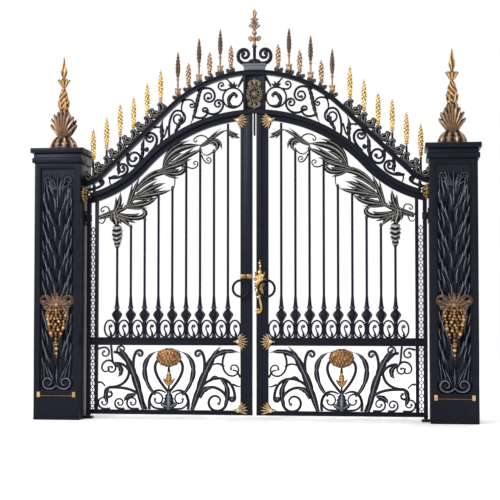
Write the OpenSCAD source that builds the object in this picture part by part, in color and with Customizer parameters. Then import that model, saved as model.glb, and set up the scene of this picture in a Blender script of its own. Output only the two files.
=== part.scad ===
// Pair of ornamental wrought iron gate leaves hung between two square iron posts,
// under a fixed scrolled overthrow with gilt spikes. All sizes are in millimetres.
// +Z is up, -Y is the front, and the origin is the middle of the left post's foot.

/* [Opening and posts] */
// Clear width between the two posts
opening_w = 2812; // [2740:1:2960]
// Width and depth of a square post
post_w = 380; // [320:1:420]
// Height of a post up to its cap
post_h = 2086; // [1990:1:2160]
// Depth of the sunk panels in the faces of a post
panel_sink = 26; // [18:1:34]
// Width of the plain border beside a sunk panel
panel_border = 50; // [44:1:60]
// Height of the plain foot of a post below its sunk panel
plinth_h = 235; // [200:1:260]
// Height of the plain head of a post above its sunk panel
head_h = 45; // [35:1:60]
// How far the cap's top slab stands out past the post
cap_over = 30; // [20:1:40]
// Height of the whole cap
cap_h = 121; // [90:1:130]

/* [Overthrow] */
// Height of the upper arch's centre line at the crown
up_crown = 2828; // [2790:1:2880]
// Radius of the upper arch's crown
up_r = 1008; // [980:1:1040]
// Height of the upper arch's rail
up_rail = 38; // [30:1:44]
// Depth of the upper arch's rail from front to back
up_depth = 56; // [48:1:64]
// Height of the lower fixed rail
low_rail = 22; // [18:1:26]
// Depth of the lower fixed rail from front to back
low_depth = 24; // [20:1:26]
// How far the lower fixed rail's front lip hangs below its underside, as a stop for the leaves
lip_drop = 14; // [12:1:18]
// Width of the stop bar between the two leaves
stop_w = 12; // [8:1:14]
// Half width of the panel under the crown
crown_panel_w = 91; // [84:1:98]
// Clear height of the scrolled frieze where it meets the post
frieze_foot = 64; // [54:1:74]
// Height of the short gilt spikes beside the crown
spike_h = 205; // [180:1:230]
// Height of the gilt spikes on the flanks
far_spike_h = 275; // [250:1:300]
// Height of the tall leaf spikes beside the crown
leaf_spike_h = 360; // [320:1:380]
// Height of the cresting's iron crockets on the flanks
crocket_h = 96; // [80:1:110]

/* [Leaves] */
// Height of the leaf's arched rail's centre line at the crown
low_crown = 2484; // [2460:1:2500]
// Radius of the leaf's arched rail at the crown
low_r = 1240; // [1215:1:1262]
// Height of the leaf's arched rail
top_rail = 52; // [46:1:56]
// Gap between the two meeting stiles
meeting_gap = 34; // [26:1:44]
// Width of a meeting stile
stile_w = 97; // [88:1:104]
// Depth of a meeting stile and of the rails from front to back
stile_depth = 46; // [42:1:48]
// How far a stile's flat band lies back from its nose, front and back
stile_step = 7; // [5:1:8]
// Side of the square heel bar that a leaf turns on
heel = 34; // [30:1:36]
// Distance from a post's face to the axis a leaf turns about
heel_set = 32; // [31:1:36]
// Width of the inner hanging bar
inner_bar = 28; // [24:1:32]
// Clear width of the narrow scrolled strip in the hanging stile
strip_w = 34; // [30:1:40]
// Height of the underside of the bottom rail above the ground
bottom_clear = 36; // [30:1:50]
// Height of the bottom rail
bottom_rail = 36; // [30:1:42]
// Height of the lock rail's top above the ground
lock_top = 663; // [640:1:690]
// Height of the lock rail
lock_rail = 64; // [56:1:72]
// Diameter of an upright bar
bar_d = 20; // [16:1:22]
// Distance from one upright bar to the next
bar_pitch = 115; // [110:1:118]
// Number of upright bars in a leaf
bar_count = 9; // [7:1:9]

/* [Ironwork] */
// Thickness of the flat scrolls from front to back
scroll_t = 16; // [12:1:20]
// Width of a scroll at its root
scroll_w = 15; // [12:1:17]
// Mean radius of a ring pull
ring_r = 66; // [58:1:74]
// Radius of the ring pull's bar
ring_bar = 10; // [8:1:12]

/* [Fits] */
// Clearance between pieces that are seated on each other
seat = 0.4; // [0.3:0.1:0.6]
// Gap between the leaves and the fixed lower rail
swing_gap = 9; // [7:1:12]
// Running clearance round the pivot pins
running = 0.1; // [0.05:0.01:0.3]

/* [Hidden] */
$fn = 64;
arc_fn = 360;
eps = 0.01;
lens_steps = 5;
curl_steps = 13;
path_steps = 6;

opening_half = opening_w / 2;
post_axis = opening_half + post_w / 2;
axis_x = opening_half - heel_set;
heel_in = axis_x - heel / 2;
inner_out = heel_in - strip_w;
inner_in = inner_out - inner_bar;
stile_in = meeting_gap / 2;
stile_out = stile_in + stile_w;
field_w = inner_in - stile_out;
bar_first = stile_out + (field_w - bar_pitch * (bar_count - 1)) * 0.4;
lock_z = lock_top - lock_rail;
panel_z = bottom_clear + bottom_rail;
panel_h = lock_z - panel_z;
cap_top = post_h + cap_h;
flat_depth = stile_depth - 2 * stile_step;
top_rail_depth = stile_depth - 4;
bottom_rail_depth = stile_depth - 8;

up_top = up_rail / 2;
up_under = -up_rail / 2;
leaf_top = top_rail / 2 - 20;
leaf_under = leaf_top - top_rail;
fixed_under = leaf_top + swing_gap;
fixed_top = fixed_under + low_rail;

// An arch is its crown height, crown radius, angle where the crown ends, length of the
// straight flank and radius of the flare, which meets the post at a last slope.
// The leaf's arch runs from crown straight into flare.
low_flare = 882;
low_last = 10.8;
low_turn = asin((opening_half + low_flare * sin(low_last)) / (low_r + low_flare));
low = [low_crown, low_r, low_turn, 0, low_flare];

// The upper arch's flank is the tangent from its crown to a flare that leaves the frieze its
// foot height at the post.
up_flare = 260;
up_last = 10;
up_foot = arch_z(low, opening_half, fixed_top) + frieze_foot + up_rail / 2;
function tangent_turn(r, flare, last, crown, foot) =
    let (
        reach = opening_half + flare * sin(last),
        rise = foot - crown + r + flare * cos(last)
    )
    asin((r + flare) / norm([reach, rise])) - atan2(rise, reach);
function flank_run(r, turn, flare, last) =
    (opening_half - (r + flare) * sin(turn) + flare * sin(last)) / cos(turn);
up_turn = tangent_turn(up_r, up_flare, up_last, up_crown, up_foot);
up = [up_crown, up_r, up_turn, flank_run(up_r, up_turn, up_flare, up_last), up_flare];

iron = "#1b1c20";
gilt = "#b08a45";

// Places a right-hand piece of the gate, or its mirror image on the left
module hand(left) {
    translate([post_axis, 0, 0])
        mirror([left ? 1 : 0, 0, 0])
            children();
}

// Stands a flat outline drawn in X and Z upright, centred on the gate's plane
module upright(t, y = 0) {
    translate([0, y + t / 2, 0])
        rotate([90, 0, 0])
            linear_extrude(t)
                children();
}

// Arch geometry
function arch_c(a) = [0, a[0] - a[1]];
function flank_dir(a) = [cos(a[2]), -sin(a[2])];
function arch_n(a) = [sin(a[2]), cos(a[2])];
function crown_end(a, d) = arch_c(a) + (a[1] + d) * arch_n(a);
function flare_c(a) = arch_c(a) + (a[1] + a[4]) * arch_n(a) + a[3] * flank_dir(a);
function arch_z(a, x, d) =
    let (p = crown_end(a, d), q = p + a[3] * flank_dir(a), f = flare_c(a))
    x <= p.x ? arch_c(a).y + sqrt(pow(a[1] + d, 2) - x * x) :
    x <= q.x ? p.y - (x - p.x) * tan(a[2]) :
    f.y - sqrt(pow(a[4] - d, 2) - pow(f.x - x, 2));
function arch_slope(a, x) = atan(arch_z(a, x + 1, 0) - arch_z(a, x, 0));
function arch_line(a, d, x0, x1, n = 60) =
    [for (i = [0:n]) let (x = x0 + (x1 - x0) * i / n) [x, arch_z(a, x, d)]];

// Sweeps a profile, radial offset by depth, along the crown of an arch
module crown_sweep(a, from, sweep) {
    translate([0, 0, arch_c(a).y])
        rotate([90, 0, 0])
            rotate([0, 0, from])
                rotate_extrude(angle = sweep, $fn = arc_fn)
                    translate([a[1], 0])
                        children();
}

// Sweeps the same profile along the flank and flare on the right
module flank_sweep(a, x_end, reach) {
    p = crown_end(a, 0);
    f = flare_c(a);
    stop = asin((f.x - x_end) / (a[4] + reach)) - 1;
    if (a[3] > 0)
        translate([p.x, 0, p.y])
            rotate([180, a[2] - 90, 0])
                linear_extrude(a[3])
                    children();
    translate([f.x, 0, f.y])
        rotate([90, 0, 0])
            rotate([0, 0, 270 - a[2]])
                rotate_extrude(angle = a[2] - stop, $fn = arc_fn)
                    translate([a[4], 0])
                        mirror([1, 0])
                            children();
}

// Everything below an arch line on the right, down to the ground
module under_arch(a, d, x0, x1) {
    polygon(concat(arch_line(a, d, x0, x1), [[x1, 0], [x0, 0]]));
}

// Rail section: a web with a fillet along both edges
module rail_section(h, depth, fillet) {
    square([h, depth - 2 * fillet], center = true);
    for (s = [-1, 1])
        translate([s * (h - fillet) / 2, 0])
            square([fillet, depth], center = true);
}

// Scroll geometry
function bez(p, t) =
    p[0] * pow(1 - t, 3) + 3 * p[1] * t * pow(1 - t, 2)
    + 3 * p[2] * t * t * (1 - t) + p[3] * t * t * t;
function bez_path(p, n = path_steps) = [for (i = [0:n]) bez(p, i / n)];
function heading(a, b) = atan2(b.y - a.y, b.x - a.x);
function reversed(v) = [for (i = [len(v) - 1:-1:0]) v[i]];
function polar(r, a) = r * [cos(a), sin(a)];

// Carries a path on into a closing spiral, to the left for hand 1 or the right for -1
function curl(path, r, turns, hand) =
    let (
        n = len(path),
        e = path[n - 1],
        h = heading(path[n - 2], e),
        c = e + polar(r, h + 90 * hand),
        steps = ceil(turns * curl_steps)
    )
    concat(path, [
        for (i = [1:steps])
            let (k = i / steps)
            c + polar(r * (1 - 0.72 * k), h - 90 * hand + hand * 360 * turns * k)
    ]);

// Flat bar along a path, from one width to another with a swelling between, that ends in a round eye
module band(path, w0, w1, swell = 0) {
    n = len(path) - 1;
    edge = [
        for (i = [0:n])
            let (
                h = heading(path[max(i - 1, 0)], path[min(i + 1, n)]),
                w = w0 + (w1 - w0) * i / n + swell * sin(180 * i / n)
            )
            [path[i], polar(w / 2, h + 90)]
    ];
    polygon(concat([for (e = edge) e[0] + e[1]], [for (e = reversed(edge)) e[0] - e[1]]));
    translate(path[n])
        circle(w1 * 0.9, $fn = 8);
}

// One stroke of the smith's drawing: a curve through four points, its width at the root and
// tip and swelling, and the radius, turns and hand of the curl at its tip
module stroke(p, w, tip = [0, 0, 1]) {
    path = bez_path(p);
    band(tip[1] > 0 ? curl(path, tip[0], tip[1], tip[2]) : path, w[0], w[1], w[2]);
}

// Closes hairline gaps and removes hairline necks, so that strokes join as forged work does
module forged() {
    fuse = 0.7;
    offset(delta = fuse)
        offset(delta = -2 * fuse)
            offset(delta = fuse)
                children();
}

// Pointed leaf blade from a root point along a direction
function lens(l, w) = concat(
    [for (i = [0:lens_steps]) [l * i / lens_steps, w / 2 * sin(180 * i / lens_steps)]],
    [for (i = [lens_steps - 1:-1:1]) [l * i / lens_steps, -w / 2 * sin(180 * i / lens_steps)]]
);
module blade(root, dir, l, w) {
    translate(root)
        rotate(dir)
            polygon(lens(l, w));
}

// Acanthus frond: a middle blade with pairs of side lobes along it
module frond(root, dir, l, w, pairs = 3) {
    blade(root, dir, l, w * 0.5);
    for (i = [0:pairs - 1])
        for (s = [-1, 1])
            blade(
                root + polar(l * i / (pairs + 1), dir),
                dir + s * (58 - 9 * i), l * (0.5 - 0.07 * i), w * 0.34
            );
}

// Turned piece from pairs of radius and height
module turned(outline) {
    rotate_extrude()
        polygon(concat([[0, outline[0].y]], outline, [[0, outline[len(outline) - 1].y]]));
}

// Posts
panel_w = post_w - 2 * panel_border;
panel_top = post_h - head_h;
panel_len = panel_top - plinth_h;

module post(left) {
    color(iron)
        hand(left)
            translate([post_axis, 0, 0])
                difference() {
                    translate([-post_w / 2, -post_w / 2, 0])
                        cube([post_w, post_w, post_h]);
                    for (s = [-1, 1])
                        translate([0, s * (post_w / 2 - panel_sink / 2), plinth_h + panel_len / 2])
                            cube([panel_w, panel_sink + 2 * eps, panel_len], center = true);
                }
}

module post_cap(left) {
    step_h = cap_h / 3;
    color(iron)
        hand(left)
            translate([post_axis, 0, post_h])
                for (k = [0:2]) {
                    over = cap_over * [0.6, 0.25, 1][k];
                    translate([-post_w / 2 - over, -post_w / 2 - over, k * step_h])
                        cube([post_w + 2 * over, post_w + 2 * over, step_h]);
                }
}

// Tiers of palm leaves that fill a sunk panel, on a thin backing sheet
relief_t = panel_sink - 12;
tier = 150;
tiers = floor((panel_len - 330) / tier);

module relief_outline() {
    root_z = 190;
    for (k = [0:tiers - 1])
        for (s = [-1, 1]) {
            blade([s * 6, root_z + k * tier], 90 - s * 20, tier * 2.0, 40);
            blade([s * 48, root_z + k * tier - 34], 90 - s * 26, tier * 1.35, 34);
        }
    blade([0, root_z + (tiers - 1) * tier + 40], 90, tier * 1.9, 46);
    for (s = [-1, 1]) {
        band(curl([[s * 8, 150], [s * 14, 120], [s * 20, 96]], 44, 1.2, s), 16, 9);
        head = [[s * 6, panel_len - 160], [s * 10, panel_len - 120], [s * 18, panel_len - 90]];
        band(curl(head, 34, 0.9, -s), 13, 8);
    }
}

module post_relief(left) {
    back_t = 3;
    color(iron)
        hand(left)
            for (s = [0, 180])
                translate([post_axis, 0, 0])
                    rotate([0, 0, s])
                        translate([0, -post_w / 2 + panel_sink - seat, plinth_h + seat])
                            rotate([90, 0, 0]) {
                                translate([-panel_w / 2 + seat, 0, 0])
                                    cube([panel_w - 2 * seat, panel_len - 2 * seat, back_t]);
                                translate([0, 0, back_t - eps])
                                    linear_extrude(relief_t - back_t)
                                        forged()
                                            intersection() {
                                                translate([-panel_w / 2 + 3, 3])
                                                    square([panel_w - 6, panel_len - 6]);
                                                relief_outline();
                                            }
                            }
}

// Gilt pendant of leaves and berries hung on the front and back of a post
cartouche_z = 780;
cartouche_t = 22;
berry_r = 27;

module cartouche_outline() {
    for (a = [-78, -52, -26, 0, 26, 52, 78])
        blade([0, 130], 90 + a, 132, 58);
    for (k = [0:4])
        for (i = [0:4 - k])
            if (k > 0 || (i > 0 && i < 4))
                translate([(i - (4 - k) / 2) * 44, 132 - k * 60])
                    circle(berry_r, $fn = 14);
    for (k = [0:2])
        translate([0, -164 - k * 42])
            circle(22 - 4 * k, $fn = 14);
    blade([0, -60], 270, 222, 20);
}

module post_cartouche(left) {
    face = post_w / 2 + seat;
    color(gilt)
        hand(left)
            for (s = [0, 180])
                translate([post_axis, 0, 0])
                    rotate([0, 0, s]) {
                        translate([0, -post_w / 2 + panel_sink - relief_t - 2 * seat, cartouche_z])
                            rotate([90, 0, 0])
                                linear_extrude(cartouche_t)
                                    forged()
                                        cartouche_outline();
                        for (k = [-1, 1])
                            translate([k * (panel_w / 2 + 6) - 13, -face - 9, plinth_h - 52])
                                cube([26, 9, 42]);
                        translate([-panel_w / 2 + 8, -face - 5, plinth_h - 46])
                            cube([panel_w - 16, 5, 10]);
                    }
}

// Gilt post finial: a flared foot, a bell of leaves, a flame bud, a cup and a flame tip
module post_finial(left) {
    color(gilt)
        hand(left)
            translate([post_axis, 0, cap_top + seat]) {
                turned([
                    [115, 0], [115, 14], [96, 34], [74, 70], [60, 118], [50, 200], [40, 300], [26, 338],
                    [34, 370], [41, 420], [38, 450], [24, 500], [12, 522], [18, 530], [42, 572],
                    [44, 588], [20, 604],
                    [12, 612], [24, 655], [22, 680], [13, 715], [9, 740], [3, 776]
                ]);
                for (a = [0:45:315])
                    rotate([0, 0, a])
                        translate([40, 0, 104])
                            rotate([0, 6, 0])
                                translate([0, 9, 0])
                                    rotate([90, 0, 0])
                                        linear_extrude(18)
                                            polygon(lens_leaf(236, 54));
            }
}
function lens_leaf(h, w) = concat(
    [for (i = [0:lens_steps]) [w * sin(150 * i / lens_steps), h * i / lens_steps]],
    [[0, h * 0.8]]
);

// Overthrow
module overthrow_arch() {
    color(iron)
        translate([post_axis, 0, 0])
            difference() {
                union() {
                    crown_sweep(up, 90 - up[2], 2 * up[2])
                        rail_section(up_rail, up_depth, 10);
                    for (s = [0, 1])
                        mirror([s, 0, 0])
                            flank_sweep(up, opening_half, up_top)
                                rail_section(up_rail, up_depth, 10);
                }
                post_blocks();
            }
}

// The two posts as plain blocks, a seat larger, to end the rails on
module post_blocks() {
    for (s = [-1, 1])
        translate([s * post_axis - post_w / 2 - seat, -post_w, 0])
            cube([post_w + 2 * seat, 2 * post_w, cap_top]);
}

lip_t = 6;
lip_y = top_rail_depth / 2 + swing_gap;
module lower_rail_section() {
    polygon([
        [fixed_under, -low_depth / 2], [fixed_top, -low_depth / 2], [fixed_top, lip_y + lip_t],
        [fixed_under - lip_drop, lip_y + lip_t], [fixed_under - lip_drop, lip_y], [fixed_under, lip_y]
    ]);
}

module overthrow_lower_rail() {
    color(iron)
        translate([post_axis, 0, 0])
            difference() {
                union() {
                    crown_sweep(low, 90 - low[2], 2 * low[2])
                        lower_rail_section();
                    for (s = [0, 1])
                        mirror([s, 0, 0])
                            flank_sweep(low, opening_half, fixed_top)
                                lower_rail_section();
                }
                post_blocks();
            }
}

// The field between the two fixed rails, on the right of the crown panel
frieze_x0 = crown_panel_w + seat;
frieze_x1 = opening_half - seat;
function frieze_mid(x) = (arch_z(up, x, up_under) + arch_z(low, x, fixed_top)) / 2;
function frieze_gap(x) = arch_z(up, x, up_under) - arch_z(low, x, fixed_top);

module frieze_field() {
    difference() {
        under_arch(up, up_under - seat, frieze_x0, frieze_x1);
        under_arch(low, fixed_top + seat, frieze_x0 - 1, frieze_x1 + 1);
    }
}

// The frieze is drawn by distance from the middle and by share of the height between the rails,
// and its curls are shares of that height too
drawn_half = 1406;
function frieze_pt(p) =
    let (x = p.x * opening_half / drawn_half)
    [x, arch_z(low, x, fixed_top) + p.y * frieze_gap(x)];
module frieze_stroke(p, w, tip = [0, 0, 1]) {
    end = frieze_pt(p[3]);
    stroke([for (q = p) frieze_pt(q)], w * scroll_w, [tip[0] * frieze_gap(end.x), tip[1], tip[2]]);
}

module frieze_outline() {
    plain = [1, 0.7, 0];
    slim = [0.75, 0.5, 0];
    stout = [1.5, 0.95, 0];
    leafy = [0.9, 0.8, 1.1];
    // ring beside the crown panel, with a comma leaf in it and a sprig over it
    ring_x = 178;
    ring = 0.317 * frieze_gap(ring_x);
    translate(frieze_pt([ring_x, 0.4]))
        difference() {
            circle(ring, $fn = 40);
            circle(ring - scroll_w, $fn = 32);
        }
    frieze_stroke([[120, 0.15], [195, 0.06], [250, 0.34], [185, 0.5]], leafy, [0.092, 0.6, 1]);
    frieze_stroke([[80, 0.98], [100, 0.9], [120, 0.78], [135, 0.68]], plain);
    frieze_stroke([[185, 0.68], [195, 0.8], [205, 0.92], [232, 0.98]], slim);
    frieze_stroke([[232, 0.68], [285, 0.66], [315, 0.84], [290, 0.92]], slim, [0.086, 0.7, 1]);
    // great scroll, its twin below and the small curl beside the leafy stem
    frieze_stroke([[470, 0.95], [420, 1.02], [340, 0.9], [328, 0.62]], plain, [0.189, 1.35, 1]);
    frieze_stroke([[400, 0.2], [340, -0.03], [265, 0.03], [258, 0.25]], plain, [0.15, 1.2, -1]);
    frieze_stroke([[508, 0.25], [455, 0.03], [395, 0], [385, 0.2]], plain, [0.104, 0.9, -1]);
    frieze_stroke([[420, 0.99], [485, 0.98], [462, 0.36], [538, -0.05]], leafy);
    frieze_stroke([[605, 0.98], [570, 0.97], [512, 0.84], [495, 0.62]], slim, [0.102, 0.9, 1]);
    // second scroll
    frieze_stroke([[705, 0], [720, 0.6], [690, 1.0], [638, 0.78]], plain, [0.293, 1.4, 1]);
    frieze_stroke([[575, 1.02], [612, 0.92], [612, 0.69], [585, 0.42]], slim);
    frieze_stroke([[835, 0.98], [800, 0.86], [770, 0.7], [755, 0.5]], slim, [0.104, 0.7, 1]);
    // third to fifth scrolls down the flank
    frieze_stroke([[878, -0.05], [815, -0.02], [785, 0.25], [832, 0.68]], stout, [0.257, 1.25, -1]);
    frieze_stroke([[1050, 1.02], [1072, 0.6], [1030, 0.16], [975, 0.06]], stout, [0.345, 1.15, -1]);
    frieze_stroke([[1215, 0.62], [1160, 0.3], [1115, 0.08], [1068, 0.12]], stout, [0.29, 1.3, -1]);
    frieze_stroke([[1140, 0.3], [1195, 0.72], [1225, 0.52], [1190, -0.05]], slim);
    frieze_stroke([[1406, 0.6], [1350, 0.35], [1300, 0.3], [1262, 0.45]], stout, [0.26, 0.9, -1]);
    frieze_stroke([[1340, -0.05], [1330, 0.3], [1345, 0.7], [1325, 1.05]], leafy);
}

module frieze_scrolls(left) {
    color(iron)
        hand(left)
            upright(scroll_t)
                forged()
                    intersection() {
                        frieze_field();
                        frieze_outline();
                    }
}

// Panel under the crown, with a rib on each side
panel_rib = 22;
module crown_panel() {
    rib = panel_rib;
    sheet_t = 6;
    z0 = arch_z(low, 0, fixed_top);
    z1 = arch_z(up, 0, up_under);
    color(iron)
        translate([post_axis, 0, 0])
            difference() {
                union() {
                    translate([-crown_panel_w, -sheet_t / 2, z0 - rib])
                        cube([2 * crown_panel_w, sheet_t, z1 - z0 + rib]);
                    for (s = [-1, 1])
                        translate([s * (crown_panel_w - rib / 2) - rib / 2, -rib, z0 - rib])
                            cube([rib, 2 * rib, z1 - z0 + rib]);
                }
                crown_disc(low, fixed_top + seat);
                difference() {
                    crown_disc(up, up_rail * 3);
                    crown_disc(up, up_under - seat);
                }
            }
}

// Solid disc under an arch's crown
module crown_disc(a, d) {
    translate([0, 0, arch_c(a).y])
        rotate([90, 0, 0])
            cylinder(r = a[1] + d, h = 2 * post_w, center = true, $fn = arc_fn);
}

medallion_r = crown_panel_w - panel_rib - 2;
medallion_z = (arch_z(low, 0, fixed_top) + arch_z(up, 0, up_under)) / 2 - 14;
module crown_medallion() {
    color(gilt)
        translate([post_axis, 0, medallion_z])
            for (s = [0, 180])
                rotate([0, 0, s])
                    translate([0, -3 - seat, 0])
                        rotate([90, 0, 0]) {
                            turned([
                                [medallion_r, 0], [medallion_r, 10], [medallion_r - 6, 16],
                                [medallion_r - 14, 12], [medallion_r - 16, 8], [24, 8], [22, 18], [12, 24], [4, 26]
                            ]);
                            for (a = [0:45:315])
                                rotate([0, 0, a])
                                    linear_extrude(15)
                                        blade([18, 0], 0, medallion_r - 36, 22);
                        }
}

pedestal_h = 50;
pedestal_z = arch_z(up, 0, up_top) + pedestal_h;
module crown_pedestal() {
    half = 86;
    color(iron)
        translate([post_axis, 0, 0])
            difference() {
                union() {
                    translate([-half, -32, pedestal_z - pedestal_h - 12])
                        cube([2 * half, 64, pedestal_h + 12 - 16]);
                    translate([-half - 10, -40, pedestal_z - 16])
                        cube([2 * half + 20, 80, 16]);
                }
                crown_disc(up, up_top + seat);
            }
}

// Two volutes that carry the centre finial
crown_scroll_h = 150;
volute = [[6, 30], [66, -26], [150, 10], [132, 84]];
module crown_scrolls() {
    color(iron)
        translate([post_axis, 0, pedestal_z + seat])
            upright(26)
                forged()
                    intersection() {
                        translate([-200, 0])
                            square([400, crown_scroll_h]);
                        union() {
                            for (s = [0, 1])
                                mirror([s, 0]) {
                                    band(curl(bez_path(volute), 50, 1.15, 1), 34, 22);
                                    translate([26, 18])
                                        circle(22, $fn = 16);
                                }
                            translate([-16, 0])
                                square([32, crown_scroll_h]);
                        }
                    }
}

module crown_finial() {
    color(gilt)
        translate([post_axis, 0, pedestal_z + crown_scroll_h + 2 * seat]) {
            turned([
                [20, 0], [14, 12], [11, 30], [11, 88], [20, 98], [22, 112], [10, 132], [12, 140], [37, 158],
                [38, 166], [14, 186], [9, 200], [24, 216], [25, 224], [9, 242],
                [12, 258], [8, 280], [3, 302]
            ]);
            for (a = [0, 90])
                rotate([0, 0, a])
                    upright(12)
                        for (s = [-1, 1])
                            band(curl([[s * 4, 30], [s * 12, 56], [s * 24, 72]], 16, 0.75, -s), 13, 8);
        }
}

// Spikes of the cresting, alternating cobs and tall leaves beside the crown
near_count = 6;
far_count = 6;
near_x = 195;
near_pitch = 88;
far_pitch = 113;
far_set = 56;
spike_x = concat(
    [for (i = [0:near_count - 1]) near_x + i * near_pitch],
    [for (i = [0:far_count - 1]) near_x + near_count * near_pitch + far_set + i * far_pitch]
);
// The crockets of the outer half of a flank stand taller
outer_rise = 52;
function crocket_top(i) =
    i < near_count ? 26 :
    i < near_count + far_count / 2 ? crocket_h :
    crocket_h + outer_rise;
function spike_foot(i) = arch_z(up, spike_x[i], up_top) + crocket_top(i);

module cob(h) {
    turned([
        [7, 0], [7, h * 0.06], [15, h * 0.1], [18, h * 0.2], [21, h * 0.36], [20, h * 0.6], [14, h * 0.84],
        [7, h * 0.93], [2, h]
    ]);
}

module leaf_spike(h) {
    turned([
        [14, 0], [22, 14], [22, 34], [12, 52], [8, 62], [8, h * 0.34], [14, h * 0.36], [8, h * 0.39],
        [7, h * 0.6], [4, h * 0.84]
    ]);
    for (a = [0, 90])
        rotate([0, 0, a])
            upright(8)
                blade([0, h * 0.44], 90, h * 0.56, 46);
}

module spikes(left) {
    color(gilt)
        hand(left)
            for (i = [0:len(spike_x) - 1])
                translate([spike_x[i], 0, spike_foot(i) + seat])
                    if (i < near_count && i % 2 == 1)
                        leaf_spike(leaf_spike_h);
                    else
                        cob(i < near_count ? spike_h : far_spike_h);
}

// Iron crockets that seat the spikes on the arch: a stem between curled leaves, which lean with it
module crocket_outline(x, top) {
    leaf = min(top, crocket_h);
    translate([x, arch_z(up, x, up_top)]) {
        translate([-9, -60])
            square([18, top + 60]);
        rotate(arch_slope(up, x) * 0.75)
            for (s = [-1, 1]) {
                hook = leaf * [[0, 0], [s * 0.3, 0], [s * 0.62, 0.3], [s * 0.5, 0.6]];
                band(curl(bez_path(hook), leaf * 0.14, 0.75, s), leaf * 0.24, leaf * 0.13);
                blade([0, leaf * 0.12], 90 - s * 34, leaf * 0.78, leaf * 0.3);
            }
    }
}

module crockets(left) {
    color(iron)
        hand(left)
            for (i = [0:len(spike_x) - 1])
                upright(scroll_t)
                    forged()
                        difference() {
                            crocket_outline(spike_x[i], crocket_top(i));
                            under_arch(up, up_top + seat, spike_x[i] - 90,
                                min(spike_x[i] + 90, opening_half));
                            translate([opening_half - seat, 0])
                                square([post_w, cap_top]);
                        }
}

// Bar that hangs from the crown and stops the two leaves
module stop_bar() {
    len_z = 190;
    color(iron)
        translate([post_axis, 0, arch_z(low, stop_w / 2, fixed_under) - seat - len_z / 2])
            cube([stop_w, stile_depth, len_z], center = true);
}

// Hinges
hinge_h = 60;
hinge_z = arch_z(low, axis_x, leaf_under) - 150;
journal_r = heel / 2 - 4;
eye_r = journal_r + 9;
axial = 6;
heel_swing = heel / sqrt(2) + 5;

module top_hinge(left) {
    plate_t = 8;
    color(gilt)
        hand(left)
            post_boss();
    color(gilt)
        hand(left)
            difference() {
                union() {
                    translate([axis_x, 0, hinge_z])
                        cylinder(r = eye_r, h = hinge_h);
                    translate([axis_x, -eye_r, hinge_z])
                        cube([heel_set - seat, 2 * eye_r, hinge_h]);
                    translate([opening_half - seat - plate_t, -70, hinge_z - 30])
                        cube([plate_t, 140, hinge_h + 60]);
                }
                translate([axis_x, 0, hinge_z - 1])
                    cylinder(r = journal_r + running, h = hinge_h + 2);
                translate([axis_x, 0, hinge_z - 40])
                    cylinder(r = heel_swing, h = 40);
                translate([axis_x, 0, hinge_z + hinge_h])
                    cylinder(r = heel_swing, h = 40);
            }
}

// Gilt boss on a post's inner face, in front of the ends of the arched rails
boss_r = 58;
boss_y = -post_w / 2 + 78;
module post_boss() {
    translate([opening_half - seat, boss_y, arch_z(low, axis_x, leaf_top) + 14])
        rotate([0, -90, 0])
            turned([
                [boss_r, 0], [boss_r, 10], [44, 16], [52, 24], [52, 30], [30, 36], [34, 44], [26, 52], [6, 56]
            ]);
}

shoe_h = 18;
pin_r = 9;
pin_h = 60;
module foot_pivot(left) {
    color(iron)
        hand(left) {
            translate([axis_x - 34, -40, 0])
                cube([34 + heel_set - seat, 80, shoe_h]);
            translate([axis_x, 0, shoe_h - eps])
                cylinder(r = pin_r, h = pin_h);
        }
}

// Leaf frame
stile_nose = stile_in + stile_w * 0.46;
module meeting_stile(left) {
    color(iron)
        hand(left) {
            stile_band(stile_in, stile_nose, stile_depth);
            stile_band(stile_nose - eps, stile_out, flat_depth);
        }
}

// Upright band from the bottom rail's underside to the leaf's arched top
module stile_band(x0, x1, depth) {
    upright(depth)
        intersection() {
            translate([x0, bottom_clear])
                square([x1 - x0, low_crown]);
            union() {
                translate([0, arch_c(low).y])
                    circle(low_r + leaf_top, $fn = arc_fn);
                translate([0, bottom_clear])
                    square([stile_out + 1, arch_c(low).y - bottom_clear]);
            }
        }
}

heel_z = shoe_h + axial;
heel_top = arch_z(low, axis_x, leaf_top) - 4;
module heel_bar(left) {
    color(iron)
        hand(left)
            translate([axis_x, 0, 0])
                difference() {
                    union() {
                        translate([-heel / 2, -heel / 2, heel_z])
                            cube([heel, heel, hinge_z - axial - heel_z]);
                        translate([0, 0, hinge_z - axial - eps])
                            cylinder(r = journal_r, h = hinge_h + 2 * axial + 2 * eps);
                        translate([-heel / 2, -heel / 2, hinge_z + hinge_h + axial])
                            cube([heel, heel, heel_top - hinge_z - hinge_h - axial]);
                    }
                    translate([0, 0, heel_z - 1])
                        cylinder(r = pin_r + running, h = pin_h - axial + 6);
                }
}

module inner_hanging_bar(left) {
    color(iron)
        hand(left)
            upright(flat_depth)
                difference() {
                    translate([inner_in, panel_z + seat])
                        square([inner_bar, low_crown]);
                    over_leaf_rail(inner_in - 10, inner_out + 10);
                }
}

// Everything from the underside of the leaf's arched rail up
module over_leaf_rail(x0, x1) {
    polygon(concat(arch_line(low, leaf_under - seat, x0, x1), [[x1, up_crown], [x0, up_crown]]));
}

// Narrow strip of linked rings in the hanging stile, in a run below and a run above the lock rail
strip_ring = 6;
strip_r = strip_w / 2 - seat;
strip_link = 16;

module strip_run(z0, z1) {
    pitch = 2 * strip_r + strip_link;
    count = floor((z1 - z0 - strip_link) / pitch);
    step = (z1 - z0) / count;
    for (k = [0:count - 1])
        translate([(inner_out + heel_in) / 2, z0 + (k + 0.5) * step]) {
            difference() {
                circle(strip_r);
                circle(strip_r - strip_ring);
            }
            for (s = [-1, 1])
                translate([-strip_ring / 2, s > 0 ? strip_r - 2 : -step / 2])
                    square([strip_ring, step / 2 - strip_r + 2]);
        }
}

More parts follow.
